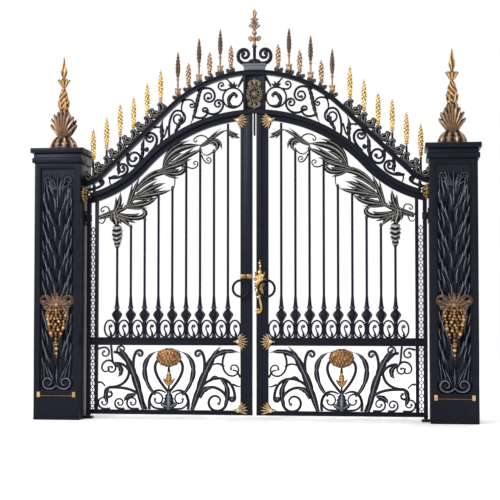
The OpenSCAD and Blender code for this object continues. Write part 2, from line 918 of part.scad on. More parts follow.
module stile_strip(left) {
    color(iron)
        hand(left)
            upright(scroll_t - 4) {
                strip_run(panel_z + seat, lock_z - seat);
                strip_run(lock_top + seat, hinge_z - 40);
            }
}

module leaf_top_rail(left) {
    color(iron)
        hand(left)
            intersection() {
                union() {
                    crown_sweep(low, 90 - low[2], low[2])
                        translate([(leaf_top + leaf_under) / 2, 0])
                            rail_section(top_rail, top_rail_depth, 12);
                    flank_sweep(low, opening_half, top_rail)
                        translate([(leaf_top + leaf_under) / 2, 0])
                            rail_section(top_rail, top_rail_depth, 12);
                }
                translate([stile_out + seat, -stile_depth, 0])
                    cube([heel_in - stile_out - 2 * seat, 2 * stile_depth, up_crown]);
            }
}

// Straight moulded rail between the meeting stile and the heel bar
module straight_rail(z, h, depth, fillet) {
    translate([stile_out + seat, 0, z + h / 2])
        rotate([0, 90, 0])
            linear_extrude(heel_in - stile_out - 2 * seat)
                rail_section(h, depth, fillet);
}

module lock_rail(left) {
    color(iron)
        hand(left)
            difference() {
                straight_rail(lock_z, lock_rail, stile_depth, 12);
                inner_bar_block();
            }
}

// The inner hanging bar as a plain block, a seat larger
module inner_bar_block() {
    translate([inner_in - seat, -flat_depth / 2 - seat, 0])
        cube([inner_bar + 2 * seat, flat_depth + 2 * seat, low_crown]);
}

module bottom_rail(left) {
    color(iron)
        hand(left)
            straight_rail(bottom_clear, bottom_rail, bottom_rail_depth, 9);
}

// Upright bars: each stands on the lock rail with a lozenge and collar near its foot, and ends
// on a leaf of the spray at its own drop below the arched rail; the outermost ends in a bud
bar_drop = [0, 215, 160, 190, 350, 300, 395, 360, 262];
bud_h = 190;
bud_r = 46;
function bar_x(i) = bar_first + i * bar_pitch;
function bar_top(i) = arch_z(low, bar_x(i), leaf_under) - (i == 0 ? bar_d * 0.4 : bar_drop[i]) - seat;

// Foot of a bar as radius and height: base, stem, lozenge and collar
bar_foot = [
    [18, 0], [18, 16], [13, 26], [13, 112], [16, 132], [40, 185], [12, 228], [21, 236], [21, 252],
    [bar_d / 2, 335]
];

module bars(left) {
    foot = lock_top + seat;
    last = bar_count - 1;
    color(iron)
        hand(left)
            for (i = [0:last])
                translate([bar_x(i), 0, 0])
                    turned(concat(
                        [for (e = bar_foot) [e.x, foot + e.y]],
                        i < last ? [[bar_d / 2, bar_top(i)]] : bud_profile(bar_top(i) - bud_h)
                    ));
}

// Ribbed bud, as radius and height above its lower tip
function bud_profile(z) = concat(
    [[bar_d / 2, z]],
    [
        for (k = [0:4])
            for (e = [[0.78, 0.1], [1, 0.5], [0.84, 0.94]])
                let (u = (k + e.y) / 5)
                [bud_r * e.x * sin(112 * u + 20), z + bud_h * 0.92 * u]
    ],
    [[bar_d * 0.9, z + bud_h]]
);

// Ovals that fill the bays between the feet of the bars, each round a pair of curls
oval_h = 150;
oval_w = 104;
oval_bar = 13;

module oval(w, h) {
    scale([w / h, 1])
        circle(h / 2, $fn = 22);
}

module bar_scrolls_outline() {
    for (i = [-1:bar_count - 1])
        translate([bar_x(i) + bar_pitch / 2, lock_top]) {
            translate([0, oval_h / 2 - 4])
                difference() {
                    oval(oval_w, oval_h);
                    oval(oval_w - 2 * oval_bar, oval_h - 2 * oval_bar);
                }
            band(curl(bez_path([[0, 4], [24, 30], [-22, 70], [-4, 96]]), 14, 0.75, -1), 11, 7);
            band(curl([[6, 46], [10, 36], [14, 26]], 10, 0.6, -1), 8, 6);
        }
}

module bar_scrolls(left) {
    color(iron)
        hand(left)
            upright(scroll_t - 4)
                forged()
                    difference() {
                        intersection() {
                            bar_scrolls_outline();
                            translate([stile_out + seat, lock_top + seat])
                                square([field_w - 2 * seat, 400]);
                        }
                        bar_shadows();
                    }
}

// Outline of the bars' feet, a seat larger
module bar_shadows() {
    for (i = [0:bar_count - 1])
        translate([bar_x(i), lock_top])
            polygon(concat(
                [for (e = bar_foot) [e.x + seat, e.y + seat]],
                [for (e = reversed(bar_foot)) [-e.x - seat, e.y + seat]]
            ));
}

// Acanthus spray under the arched rail, drawn by distance from the stile and drop below the rail
drawn_field = 1182;
function spray_pt(p) =
    let (x = stile_out + p.x * field_w / drawn_field)
    [x, arch_z(low, x, leaf_under) - p.y];
module spray_stroke(p, w, tip = [0, 0, 1]) {
    stroke([for (q = p) spray_pt(q)], w, tip);
}

module acanthus_outline() {
    stem = [26, 18, 8];
    tongue = [18, 10, 20];
    broad = [14, 12, 38];
    twig = [12, 7, 0];
    // root at the hanging stile, with its tongues on the outer bars and its curls
    spray_stroke([[1190, 140], [1095, 130], [995, 185], [900, 160]], stem);
    spray_stroke([[965, 150], [860, 210], [755, 330], [670, 302]], tongue);
    spray_stroke([[1020, 175], [940, 260], [835, 360], [795, 350]], tongue, [28, 0.5, -1]);
    spray_stroke([[1075, 165], [1005, 205], [950, 270], [912, 362]], tongue);
    spray_stroke([[1050, 150], [1050, 190], [1032, 225], [1025, 262]], [34, 26, 26]);
    spray_stroke([[1060, 150], [1015, 130], [1000, 80], [1000, -5]], tongue);
    spray_stroke([[1095, 135], [1080, 90], [1125, 45], [1160, 70]], twig, [20, 0.6, -1]);
    spray_stroke([[1125, 140], [1125, 190], [1155, 215], [1185, 170]], twig);
    // second cluster
    spray_stroke([[940, 170], [910, 125], [885, 60], [840, -5]], stem);
    spray_stroke([[900, 130], [805, 175], [675, 310], [558, 352]], tongue);
    spray_stroke([[885, 130], [805, 160], [710, 195], [615, 260]], tongue);
    spray_stroke([[872, 90], [790, 40], [660, 125], [590, 205]], tongue);
    spray_stroke([[600, 195], [530, 240], [540, 310], [556, 352]], twig);
    // third cluster
    spray_stroke([[690, 110], [580, 145], [500, 200], [435, 192]], tongue);
    spray_stroke([[650, 140], [565, 230], [500, 275], [470, 250]], tongue, [22, 0.5, -1]);
    spray_stroke([[640, 140], [648, 60], [620, 50], [590, 85]], twig, [16, 0.6, 1]);
    spray_stroke([[470, 195], [435, 265], [370, 305], [355, 265]], twig, [24, 0.8, -1]);
    // fourth cluster, close under the rail
    spray_stroke([[640, 120], [600, 5], [500, 30], [300, 125]], broad);
    spray_stroke([[580, 125], [500, 170], [405, 135], [305, 160]], tongue);
    spray_stroke([[340, 120], [255, 125], [210, 55], [90, 55]], [16, 10, 8]);
    spray_stroke([[255, 125], [190, 110], [175, 175], [212, 217]], tongue);
    spray_stroke([[225, 205], [265, 225], [290, 235], [330, 162]], twig);
    spray_stroke([[322, 200], [305, 275], [255, 310], [245, 275]], twig, [24, 0.8, -1]);
    spray_stroke([[255, 118], [275, 55], [340, 10], [385, 40]], twig, [20, 0.6, -1]);
    spray_stroke([[115, 55], [75, 100], [35, 135], [0, 140]], [10, 8, 14]);
}

module acanthus(left) {
    color(iron)
        hand(left)
            upright(scroll_t)
                forged()
                    difference() {
                        intersection() {
                            acanthus_outline();
                            translate([stile_out + seat, lock_top])
                                square([field_w - 2 * seat, up_crown]);
                        }
                        over_leaf_rail(stile_out - 10, inner_out + 10);
                        bar_heads();
                    }
}

// Outline of the upper ends of the bars, a seat larger
module bar_heads() {
    last = bar_count - 1;
    for (i = [0:last]) {
        r = (i < last ? bar_d / 2 : bud_r) + seat;
        translate([bar_x(i) - r, bar_top(i) - bud_h])
            square([2 * r, bud_h + seat]);
        translate([bar_x(i) - bar_d / 2 - seat, lock_top])
            square([bar_d + 2 * seat, bar_top(i) - lock_top]);
    }
}

// Scrollwork of the lower panel, drawn from the foot of the meeting stile
drawn_panel = 527;
panel_mid = (stile_out + inner_in) / 2;
function panel_pt(p) = [stile_out + p.x * field_w / drawn_field, panel_z + p.y * panel_h / drawn_panel];
module panel_stroke(p, w, tip = [0, 0, 1]) {
    stroke([for (q = p) panel_pt(q)], w, tip);
}

// The same stroke on both sides of the panel's middle
module panel_pair(p, w, tip = [0, 0, 1]) {
    panel_stroke(p, w, tip);
    panel_stroke([for (q = p) [drawn_field - q.x, q.y]], w, [tip[0], tip[1], -tip[2]]);
}

module lower_outline() {
    trunk = [30, 16, 26];
    arm = [20, 11, 4];
    scroll = [16, 9, 0];
    leaf = [14, 10, 20];
    // bud and its rings in the middle, with the inner lyre above
    translate(panel_pt([drawn_field / 2, 30])) {
        blade([0, 0], 90, 130, 84);
        for (s = [-1, 1])
            blade([0, -8], 90 - s * 62, 92, 40);
    }
    panel_pair([[590, 8], [560, 8], [530, 8], [490, 12]], [18, 12, 0], [74, 1.25, -1]);
    panel_pair([[585, 150], [505, 240], [440, 340], [500, 405]], arm, [24, 0.5, -1]);
    panel_stroke([[591, 150], [591, 240], [591, 300], [591, 380]], [9, 9, 18]);
    panel_stroke([[591, 0], [591, 15], [591, 30], [591, 45]], [30, 24, 0]);
    // middle and outer arms of the lyre
    panel_pair([[480, 120], [350, 250], [360, 440], [500, 478]], leaf);
    panel_pair([[405, -4], [310, 220], [265, 380], [318, 470]], arm, [34, 0.9, -1]);
    // meeting side: the leafy trunk, its twig, the great nested scroll and the upper scroll
    panel_stroke([[398, -4], [330, 230], [250, 420], [160, 530]], trunk);
    panel_stroke([[262, 385], [200, 470], [120, 500], [-6, 468]], leaf);
    panel_stroke([[345, 150], [270, 300], [50, 310], [46, 100]], arm, [26, 0.9, 1]);
    panel_stroke([[398, 10], [390, 150], [250, 250], [140, 145]], arm, [96, 1.25, 1]);
    panel_stroke([[250, 235], [235, 275], [210, 290], [180, 262]], scroll);
    panel_stroke([[110, 490], [165, 420], [160, 320], [95, 285]], scroll, [62, 0.85, -1]);
    panel_stroke([[-6, 262], [20, 300], [30, 335], [66, 324]], scroll);
    panel_stroke([[135, 352], [170, 392], [215, 384], [256, 352]], scroll);
    // hanging side: the trunk, the reversed scroll under it and the ringed corner
    panel_stroke([[800, -4], [850, 200], [900, 400], [1020, 530]], trunk);
    panel_stroke([[955, 400], [985, 440], [1010, 450], [1020, 472]], scroll, [38, 1.1, 1]);
    panel_stroke([[795, 40], [830, 160], [930, 185], [1085, 180]], arm, [48, 0.9, -1]);
    panel_stroke([[920, 330], [920, 220], [1000, 180], [1090, 188]], arm);
    panel_stroke([[1075, 530], [1060, 460], [1075, 400], [1040, 362]], scroll, [42, 0.95, 1]);
    panel_stroke([[1052, 380], [1080, 420], [1140, 400], [1150, 350]], scroll, [44, 0.6, -1]);
    panel_stroke([[1188, 496], [1170, 500], [1150, 505], [1135, 508]], scroll, [46, 0.95, 1]);
    panel_stroke([[1188, 215], [1165, 230], [1140, 220], [1120, 188]], scroll);
    // rings along the foot on the hanging side
    panel_stroke([[840, 8], [865, 6], [885, 6], [900, 8]], scroll, [52, 1.2, 1]);
    panel_stroke([[960, 8], [980, 6], [995, 6], [1010, 10]], scroll, [46, 1.2, 1]);
    panel_stroke([[1080, 8], [1110, 4], [1130, 4], [1145, 8]], scroll, [52, 1.2, 1]);
}

module lower_scrolls(left) {
    color(iron)
        hand(left)
            upright(scroll_t)
                forged()
                    intersection() {
                        lower_outline();
                        translate([stile_out + seat, panel_z + seat])
                            square([field_w - 2 * seat, panel_h - 2 * seat]);
                    }
}

// Gilt scalloped shell on the lower panel, with a drop on the stem below it, front and back
module shell(left) {
    ribs = 9;
    color(gilt)
        hand(left)
            for (s = [-1, 1])
                upright(10, s * (scroll_t / 2 + 5 + seat))
                    translate([panel_mid, lock_z - 100]) {
                        forged() {
                            for (i = [0:ribs - 1])
                                translate(polar(66, 90 + (i - (ribs - 1) / 2) * 22))
                                    circle(24, $fn = 14);
                            circle(74, $fn = 24);
                        }
                        forged()
                            blade([0, -132], 270, 92, 44);
                    }
}

// Gilt leaf clasps over the joints of the frame, front and back
clasp_t = 10;
clasp_half = 34;

module clasp_outline() {
    finger = 92;
    for (k = [-1.5:1.5])
        blade([-44, k * 21], k * 5, finger, 30);
    translate([-30, -clasp_half - 12])
        square([34, 2 * clasp_half + 24]);
}

// One clasp on the front and one on the back of a rail, cut off level with the frame's own ends
module clasp_pair(z, depth) {
    for (s = [-1, 1])
        upright(clasp_t, s * (max(depth, flat_depth) / 2 + clasp_t / 2 + seat))
            forged()
                intersection() {
                    translate([stile_out, z])
                        clasp_outline();
                    difference() {
                        under_arch(low, fixed_under - lip_drop - swing_gap, stile_in, inner_in);
                        square([inner_in, bottom_clear]);
                    }
                }
}

// Gilt strap across the left meeting stile over its ring pull, on the nose and on the flat band
strap_h = 34;
module stile_strap() {
    t = 5;
    for (s = [-1, 1])
        for (e = [[stile_in, stile_nose, stile_depth], [stile_nose + t + seat, stile_out, flat_depth]])
            upright(t, s * (e[2] / 2 + t / 2 + seat))
                translate([e[0], ring_z + ring_r + ring_bar + 6])
                    square([e[1] - e[0], strap_h]);
}

module clasps(left) {
    color(gilt)
        hand(left) {
            clasp_pair(bottom_clear + bottom_rail / 2 + 22, bottom_rail_depth);
            clasp_pair(lock_z + lock_rail / 2, stile_depth);
            clasp_pair(arch_z(low, stile_out, leaf_top) - 66, top_rail_depth);
            if (left)
                stile_strap();
        }
}

// Ring pull on two short studs in front of a meeting stile
ring_z = 1061;
ring_x = stile_out - 10;
ring_y = -stile_depth / 2 - 34;
module ring_pull(left) {
    color(iron)
        hand(left)
            translate([ring_x, ring_y, ring_z]) {
                rotate([90, 0, 0])
                    rotate_extrude()
                        translate([ring_r, 0])
                            circle(ring_bar);
                for (a = [105, 255])
                    translate([ring_r * cos(a), 0, ring_r * sin(a)])
                        rotate([-90, 0, 0])
                            cylinder(r = ring_bar * 0.9, h = -ring_y - flat_depth / 2 - seat);
                if (!left)
                    translate([lock_pad - ring_x, -ring_y - stile_depth / 2 - lock_t - 2 * seat, 0])
                        rotate([90, 0, 0])
                            turned([[20, 0], [22, 3], [18, 6], [6, 8]]);
            }
}

// Gilt acanthus lock plate on the right leaf, with its hooked lever
lock_t = 12;
lock_pad = stile_out - 24;
lever = [[0, -110], [10, -170], [24, -190], [10, -230]];
module lock_escutcheon() {
    z = ring_z + 30;
    color(gilt)
        hand(false)
            upright(lock_t, -stile_depth / 2 - lock_t / 2 - seat)
                forged() {
                    translate([lock_pad, ring_z])
                        circle(23, $fn = 24);
                    intersection() {
                        translate([stile_in - 18, z - 320])
                            square([stile_nose - stile_in + 28, 700]);
                        translate([stile_in + 24, z]) {
                            frond([0, 20], 90, 170, 90, 3);
                            frond([0, -20], 270, 150, 80, 3);
                            circle(44, $fn = 32);
                            band(curl(bez_path(lever), 24, 0.7, -1), 14, 8);
                        }
                    }
                }
}

post(true);  // left_post
post(false);  // right_post
post_cap(true);  // left_post_cap
post_cap(false);  // right_post_cap
post_relief(true);  // left_post_relief
post_relief(false);  // right_post_relief
post_cartouche(true);  // left_post_cartouche
post_cartouche(false);  // right_post_cartouche
post_finial(true);  // left_post_finial
post_finial(false);  // right_post_finial
overthrow_arch();
overthrow_lower_rail();
frieze_scrolls(true);  // left_frieze_scrolls
frieze_scrolls(false);  // right_frieze_scrolls
crown_panel();
crown_medallion();
crown_pedestal();
crown_scrolls();
crown_finial();
spikes(true);  // left_spikes
spikes(false);  // right_spikes
crockets(true);  // left_crockets
crockets(false);  // right_crockets
stop_bar();
top_hinge(true);  // left_top_hinge
top_hinge(false);  // right_top_hinge
foot_pivot(true);  // left_foot_pivot
foot_pivot(false);  // right_foot_pivot
meeting_stile(true);  // left_meeting_stile
meeting_stile(false);  // right_meeting_stile
heel_bar(true);  // left_heel_bar
heel_bar(false);  // right_heel_bar
inner_hanging_bar(true);  // left_inner_bar
inner_hanging_bar(false);  // right_inner_bar
stile_strip(true);  // left_stile_strip
stile_strip(false);  // right_stile_strip
leaf_top_rail(true);  // left_top_rail
leaf_top_rail(false);  // right_top_rail
lock_rail(true);  // left_lock_rail
lock_rail(false);  // right_lock_rail
bottom_rail(true);  // left_bottom_rail
bottom_rail(false);  // right_bottom_rail
bars(true);  // left_bars
bars(false);  // right_bars
bar_scrolls(true);  // left_bar_scrolls
bar_scrolls(false);  // right_bar_scrolls
acanthus(true);  // left_acanthus
acanthus(false);  // right_acanthus
lower_scrolls(true);  // left_lower_scrolls
lower_scrolls(false);  // right_lower_scrolls
shell(true);  // left_shell
shell(false);  // right_shell
clasps(true);  // left_clasps
clasps(false);  // right_clasps
ring_pull(true);  // left_ring_pull
ring_pull(false);  // right_ring_pull
lock_escutcheon();
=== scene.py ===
# %% [markdown]
# # A pair of wrought iron gates
# Two leaves hang between square iron posts, under a fixed overthrow with gilt spikes.
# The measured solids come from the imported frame; this lesson dresses them with forged bars,
# leaves, beads and finishes. Lengths are in millimetres until a mesh is made, then metres.

# %% Load the frame
import math

import bmesh
import bpy
import numpy as np
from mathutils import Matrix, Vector


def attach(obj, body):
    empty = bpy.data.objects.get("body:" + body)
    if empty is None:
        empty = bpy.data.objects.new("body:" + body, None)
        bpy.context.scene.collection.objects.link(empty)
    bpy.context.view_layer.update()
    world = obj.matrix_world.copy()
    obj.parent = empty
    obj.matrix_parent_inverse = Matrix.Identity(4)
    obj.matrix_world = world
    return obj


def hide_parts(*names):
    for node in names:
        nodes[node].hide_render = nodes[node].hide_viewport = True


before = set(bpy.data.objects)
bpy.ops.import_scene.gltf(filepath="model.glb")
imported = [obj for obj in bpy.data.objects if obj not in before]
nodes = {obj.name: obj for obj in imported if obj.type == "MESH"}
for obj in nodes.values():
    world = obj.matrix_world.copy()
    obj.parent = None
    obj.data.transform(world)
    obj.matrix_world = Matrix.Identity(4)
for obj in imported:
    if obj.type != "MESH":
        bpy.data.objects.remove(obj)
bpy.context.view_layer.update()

MM = 0.001
MIDDLE = 1596.0

# %% [markdown]
# ## Camera
# The gate is seen from a little right of its middle, from about waist height and ten metres
# away, with a long lens. A camera could be aimed by eye; here its place, its two angles and its
# lens were worked out from the rails, posts and spikes, because then every later piece can be
# compared with the picture point by point.

# %% Camera
EYE = Vector((2.7746, -10.3088, 0.9563))
YAW, PITCH = 0.1174, 0.0403
FOCAL_PX, FRAME_PX, SENSOR = 1276.6, 500, 36.0
look = Vector((-math.sin(YAW) * math.cos(PITCH), math.cos(YAW) * math.cos(PITCH), math.sin(PITCH)))
lens = bpy.data.cameras.new("camera")
lens.sensor_width = SENSOR
lens.lens = FOCAL_PX * SENSOR / FRAME_PX
camera = bpy.data.objects.new("camera", lens)
camera.location = EYE
camera.rotation_mode = "QUATERNION"
camera.rotation_quaternion = look.to_track_quat("-Z", "Y")
bpy.context.scene.collection.objects.link(camera)
bpy.context.scene.camera = camera
print("camera: lens", round(lens.lens, 1), "mm")


# %% [markdown]
# ## Finishes
# Paint and gilding are what the eye meets first. Each could be set up by hand in the shader
# editor; small node trees built by a script keep all colours in one place instead. One function
# turns a written colour into the linear values that the shader works in, and one adds a node
# with its settings and links. The forged pieces carry an attribute called relief: above zero
# where a brush or a polishing cloth would catch, below zero in the hollows. Solids without it
# read as zero.

# %% Tools for finishes
def hue(code):
    """sRGB hex to linear RGBA."""
    srgb = [int(code[i:i + 2], 16) / 255 for i in (1, 3, 5)]
    return [c / 12.92 if c <= 0.04045 else ((c + 0.055) / 1.055) ** 2.4 for c in srgb] + [1]


def add(tree, kind, inputs=(), **settings):
    """Adds one node; an input's value is either a constant or the socket that feeds it."""
    node = tree.nodes.new(kind)
    for name, value in settings.items():
        setattr(node, name, value)
    for key, value in dict(inputs).items():
        if isinstance(value, bpy.types.NodeSocket):
            tree.links.new(value, node.inputs[key])
        else:
            node.inputs[key].default_value = value
    return node


def finish_tree(name):
    made = bpy.data.materials.new(name)
    made.use_nodes = True
    made.node_tree.nodes.clear()
    return made, made.node_tree


def per_metre(size_mm):
    """Noise scale that gives blotches about this many millimetres across."""
    return 1000 / size_mm


print("mid grey in linear light:", round(hue("#808080")[0], 3))


# %% [markdown]
# ## Satin black paint on wrought iron
# The gate was forged, then brushed with satin black paint. The eye sees a near black with a
# cold blue cast, a soft sheen on the hammered flats, and on the leaf work a dry brush of
# grey-brown over the raised edges, which also stands as a painted highlight there. Those edges
# could be found from the mesh's curvature; the relief that each piece carries is used instead,
# because it looks the same in any renderer.

# %% Satin black paint
def black_paint(name, dark, light, brush_and_highlight, sheen=0.42, gloss=0.17):
    made, tree = finish_tree(name)
    place = add(tree, "ShaderNodeTexCoord").outputs["Object"]
    blotch = add(tree, "ShaderNodeTexNoise", {"Vector": place, "Scale": per_metre(70), "Detail": 3})
    paint = add(tree, "ShaderNodeMix", {0: blotch.outputs["Fac"], 6: hue(dark), 7: hue(light)},
                data_type="RGBA")
    relief = add(tree, "ShaderNodeAttribute", attribute_name="relief").outputs["Fac"]
    grit = add(tree, "ShaderNodeTexNoise", {"Vector": place, "Scale": per_metre(9), "Detail": 2})
    # painted highlight and dry-brush wear: the lighter colour is mixed in where relief stands above
    # zero
    wear_and_highlight = add(tree, "ShaderNodeMath", {0: relief, 1: grit.outputs["Fac"]}, operation="MULTIPLY")
    spread = add(tree, "ShaderNodeMapRange",
                 {"Value": wear_and_highlight.outputs[0], "From Min": 0.08, "From Max": 0.5})
    coat = add(tree, "ShaderNodeMix", {0: spread.outputs[0], 6: paint.outputs[2], 7: hue(brush_and_highlight)},
               data_type="RGBA")
    rough = add(tree, "ShaderNodeMapRange", {"Value": blotch.outputs["Fac"], "To Min": sheen - 0.06,
                                             "To Max": sheen + 0.12})
    hammer = add(tree, "ShaderNodeTexNoise", {"Vector": place, "Scale": per_metre(22), "Detail": 2})
    bump = add(tree, "ShaderNodeBump",
               {"Height": hammer.outputs["Fac"], "Strength": 0.18, "Distance": 0.003})
    shader = add(tree, "ShaderNodeBsdfPrincipled", {
        "Base Color": coat.outputs[2], "Roughness": rough.outputs[0], "Normal": bump.outputs[0],
        "Specular IOR Level": gloss, "Specular Tint": hue("#d3d7e8")})
    add(tree, "ShaderNodeOutputMaterial", {"Surface": shader.outputs[0]})
    return made


satin_black = black_paint("satin_black_paint_on_wrought_iron", "#0a0b12", "#14151f", "#4a4b52",
                          0.36)
# dry brush and painted highlight: the pale third colour lies on leaf ribs and raised edges
brushed_and_highlit_black = black_paint("dry_brushed_black_paint_on_forged_leaves", "#0c0c10", "#17171b",
                            "#b7b3ad", 0.4)
# painted highlight: the blue-grey third colour is laid on the ribs and tips of the cast relief
highlit_black = black_paint("black_paint_with_painted_highlights_on_cast_relief", "#06070c", "#0e0f16", "#9296a4",
                           0.3, 0.32)
grey_paint = black_paint("weathered_grey_paint_on_the_crown_block", "#4d5058", "#6a6d74", "#9a9ca2",
                         0.46)
print("paint:", satin_black.name, brushed_and_highlit_black.name, highlit_black.name, grey_paint.name)


# %% [markdown]
# ## Aged gilding
# The spikes, finials and clasps are cast and gilded. Years outdoors leave pale gold on what
# stands proud and brown-black dirt in the hollows; the same ramp also paints highlight on what
# stands proud and shade in the hollows. The cresting's outer spikes have kept more gold; the
# finials and pendants have gone to bronze. Dirt could be painted on by hand; one ramp over relief
# and noise gives hollow, body and proud tones, so a state of age with its painted light and shade
# is three colours.

# %% Aged gilding
def gilding(name, hollow, body, proud, sheen):
    made, tree = finish_tree(name)
    place = add(tree, "ShaderNodeTexCoord").outputs["Object"]
    wear = add(tree, "ShaderNodeTexNoise", {"Vector": place, "Scale": per_metre(26), "Detail": 4})
    relief = add(tree, "ShaderNodeAttribute", attribute_name="relief").outputs["Fac"]
    # painted shade and highlight together with dirt and wear: low relief takes the hollow colour,
    # high relief the proud one
    mixed = add(tree, "ShaderNodeMath", {0: wear.outputs["Fac"], 1: 0.9, 2: relief},
                operation="MULTIPLY_ADD")
    tone = add(tree, "ShaderNodeMapRange",
               {"Value": mixed.outputs[0], "From Min": -0.35, "From Max": 1.25})
    ramp = add(tree, "ShaderNodeValToRGB", {"Fac": tone.outputs[0]})
    ramp.color_ramp.elements[0].position, ramp.color_ramp.elements[1].position = 0.12, 0.92
    ramp.color_ramp.elements[0].color, ramp.color_ramp.elements[1].color = hue(hollow), hue(proud)
    ramp.color_ramp.elements.new(0.5).color = hue(body)
    rough = add(tree, "ShaderNodeMapRange", {"Value": wear.outputs["Fac"], "To Min": sheen - 0.08,
                                             "To Max": sheen + 0.16})
    pits = add(tree, "ShaderNodeTexNoise", {"Vector": place, "Scale": per_metre(7), "Detail": 2})
    bump = add(tree, "ShaderNodeBump",
               {"Height": pits.outputs["Fac"], "Strength": 0.2, "Distance": 0.002})
    shader = add(tree, "ShaderNodeBsdfPrincipled", {
        "Base Color": ramp.outputs[0], "Roughness": rough.outputs[0], "Normal": bump.outputs[0],
        "Metallic": 0.55})
    add(tree, "ShaderNodeOutputMaterial", {"Surface": shader.outputs[0]})
    return made


pale_gilt = gilding("pale_aged_gilding_on_cast_spikes", "#3a2710", "#b28a45", "#f3dfa8", 0.36)
bronze_gilt = gilding("bronzed_gilding_on_cast_ornament", "#1c120a", "#7d5630", "#d9b47c", 0.36)
dark_bronze = gilding("dark_bronze_wash_on_cast_leaves", "#0d0908", "#3b2820", "#a98a70", 0.36)
rose_bronze = gilding("rose_bronze_on_the_crown_spikes", "#33211a", "#82614e", "#d3b59a", 0.36)
worn_gilt = gilding("worn_gilding_on_the_clasps", "#24170c", "#94744a", "#ecdcb6", 0.36)
old_bronze = gilding("weathered_bronze_on_the_crown_wreath", "#141011", "#4a3f37", "#a89885", 0.42)
print("gilding:", pale_gilt.name, bronze_gilt.name, dark_bronze.name, rose_bronze.name,
      worn_gilt.name, old_bronze.name)

# %% [markdown]
# ## Finishes for the solids
# Rails, hinges and rings are plain forgings, so each solid of the frame keeps its mesh and gets
# the finish of its real material. Each could be picked by hand; a loop over the names does it,
# since the names say what is gilt. Solids that later pieces stand in for are hidden there.

# %% Dress the solids
GILT = ("spikes", "cartouche", "finial", "medallion", "shell", "clasps", "escutcheon")
for name, solid in nodes.items():
    coat = bronze_gilt if any(word in name for word in GILT) else satin_black
    solid.data.materials.clear()
    solid.data.materials.append(coat)
print("dressed:", len(nodes), "solids")

# %% [markdown]
# ## Measures shared with the solids
# The gate is drawn from its middle outwards, right side first, and the left side is the mirror
# image. Both arched rails run from a round crown through a flank into a flare at the post. Each
# height could be measured off the solids; one function that gives the height of either rail at
# any distance from the middle lets all ornament follow the arches.

# %% Measures
HALF = 1406.0                 # middle of the gate to a post
POST_W, CAP_TOP = 380.0, 2207.0
POST_X = HALF + POST_W / 2
STILE_IN, STILE_OUT, FIELD_END = 17.0, 114.0, 1295.0
FIELD = FIELD_END - STILE_OUT
LOCK_TOP, LOCK_Z, PANEL_Z = 663.0, 599.0, 72.0
DRAWN_W = 1182                # width of the field in the drawings of its scrollwork
BAR_PITCH, BAR_COUNT = 115.0, 9
BAR_FIRST = STILE_OUT + (FIELD - BAR_PITCH * (BAR_COUNT - 1)) * 0.4
BAR_DROP = (8, 215, 160, 190, 350, 300, 395, 360, 262)   # tops of the bars below the arched rail
BUD_TALL = 190                # the bud on the outermost bar
LEAF_UNDER, FIXED_TOP, UP_UNDER, UP_TOP = -46.0, 37.0, -19.0, 19.0
GAP_AT_POST = 64.0            # daylight between the two rails where they meet a post
LOW_CROWN, LOW_R, LOW_FLARE, LOW_FOOT = 2484.0, 1240.0, 882.0, math.radians(10.8)
low_turn = math.asin((HALF + LOW_FLARE * math.sin(LOW_FOOT)) / (LOW_R + LOW_FLARE))
LOW = (LOW_CROWN, LOW_R, low_turn, 0.0, LOW_FLARE)


def arch_z(arch, x, d):
    """Height of an arch at x, measured d outwards from its centre line."""
    crown, r, turn, run, flare = arch
    zc = crown - r
    nx, nz = math.sin(turn), math.cos(turn)
    px, pz = (r + d) * nx, zc + (r + d) * nz
    if x <= px:
        return zc + math.sqrt((r + d) ** 2 - x * x)
    if x <= px + run * nz:
        return pz - (x - px) * math.tan(turn)
    fx, fz = (r + flare) * nx + run * nz, zc + (r + flare) * nz - run * nx
    return fz - math.sqrt((flare - d) ** 2 - (fx - x) ** 2)


def upper_arch(crown, r, flare, last):
    """The upper rail's arch, its flank set so that the flare ends on the post at a given slope."""
    foot = arch_z(LOW, HALF, FIXED_TOP) + GAP_AT_POST + UP_TOP
    reach, rise = HALF + flare * math.sin(last), foot - crown + r + flare * math.cos(last)
    turn = math.asin((r + flare) / math.hypot(reach, rise)) - math.atan2(rise, reach)
    run = (HALF - (r + flare) * math.sin(turn) + flare * math.sin(last)) / math.cos(turn)
    return (crown, r, turn, run, flare)


UP = upper_arch(2828.0, 1008.0, 260.0, math.radians(10))
print("arches: crowns at", LOW[0], "and", UP[0], "mm")


# %% [markdown]
# ## Lines that a smith draws
# Scrollwork starts as chalk lines on the shop floor: easy curves that run out into a closing
# spiral. Curve objects could hold them, but plain arrays of points are easier to bend and
# measure. A cubic curve of four points gives the first, and the spiral loses about three
# quarters of its radius as it turns.

# %% Lines
def bez(points, steps=14):
    """Points along the cubic curve of eight numbers, four points in the gate's plane."""
    t = np.linspace(0, 1, steps + 1)[:, None]
    a, b, c, d = np.reshape(np.array(points, float), (4, 2))
    return a * (1 - t) ** 3 + 3 * b * t * (1 - t) ** 2 + 3 * c * t * t * (1 - t) + d * t ** 3


def curl(path, r, turns, hand, per_turn=24):
    """Carries a path on into a closing spiral, to the left for hand 1 or the right for -1."""
    dx, dz = path[-1] - path[-2]
    start = math.atan2(dz, dx) - hand * math.pi / 2
    steps = max(4, round(turns * per_turn))
    k = np.arange(1, steps + 1) / steps
    centre = path[-1] - r * np.array([math.cos(start), math.sin(start)])
    angle = start + hand * 2 * math.pi * turns * k
    wound = (r * (1 - 0.72 * k))[:, None] * np.stack([np.cos(angle), np.sin(angle)], 1)
    return np.vstack([path, centre + wound])


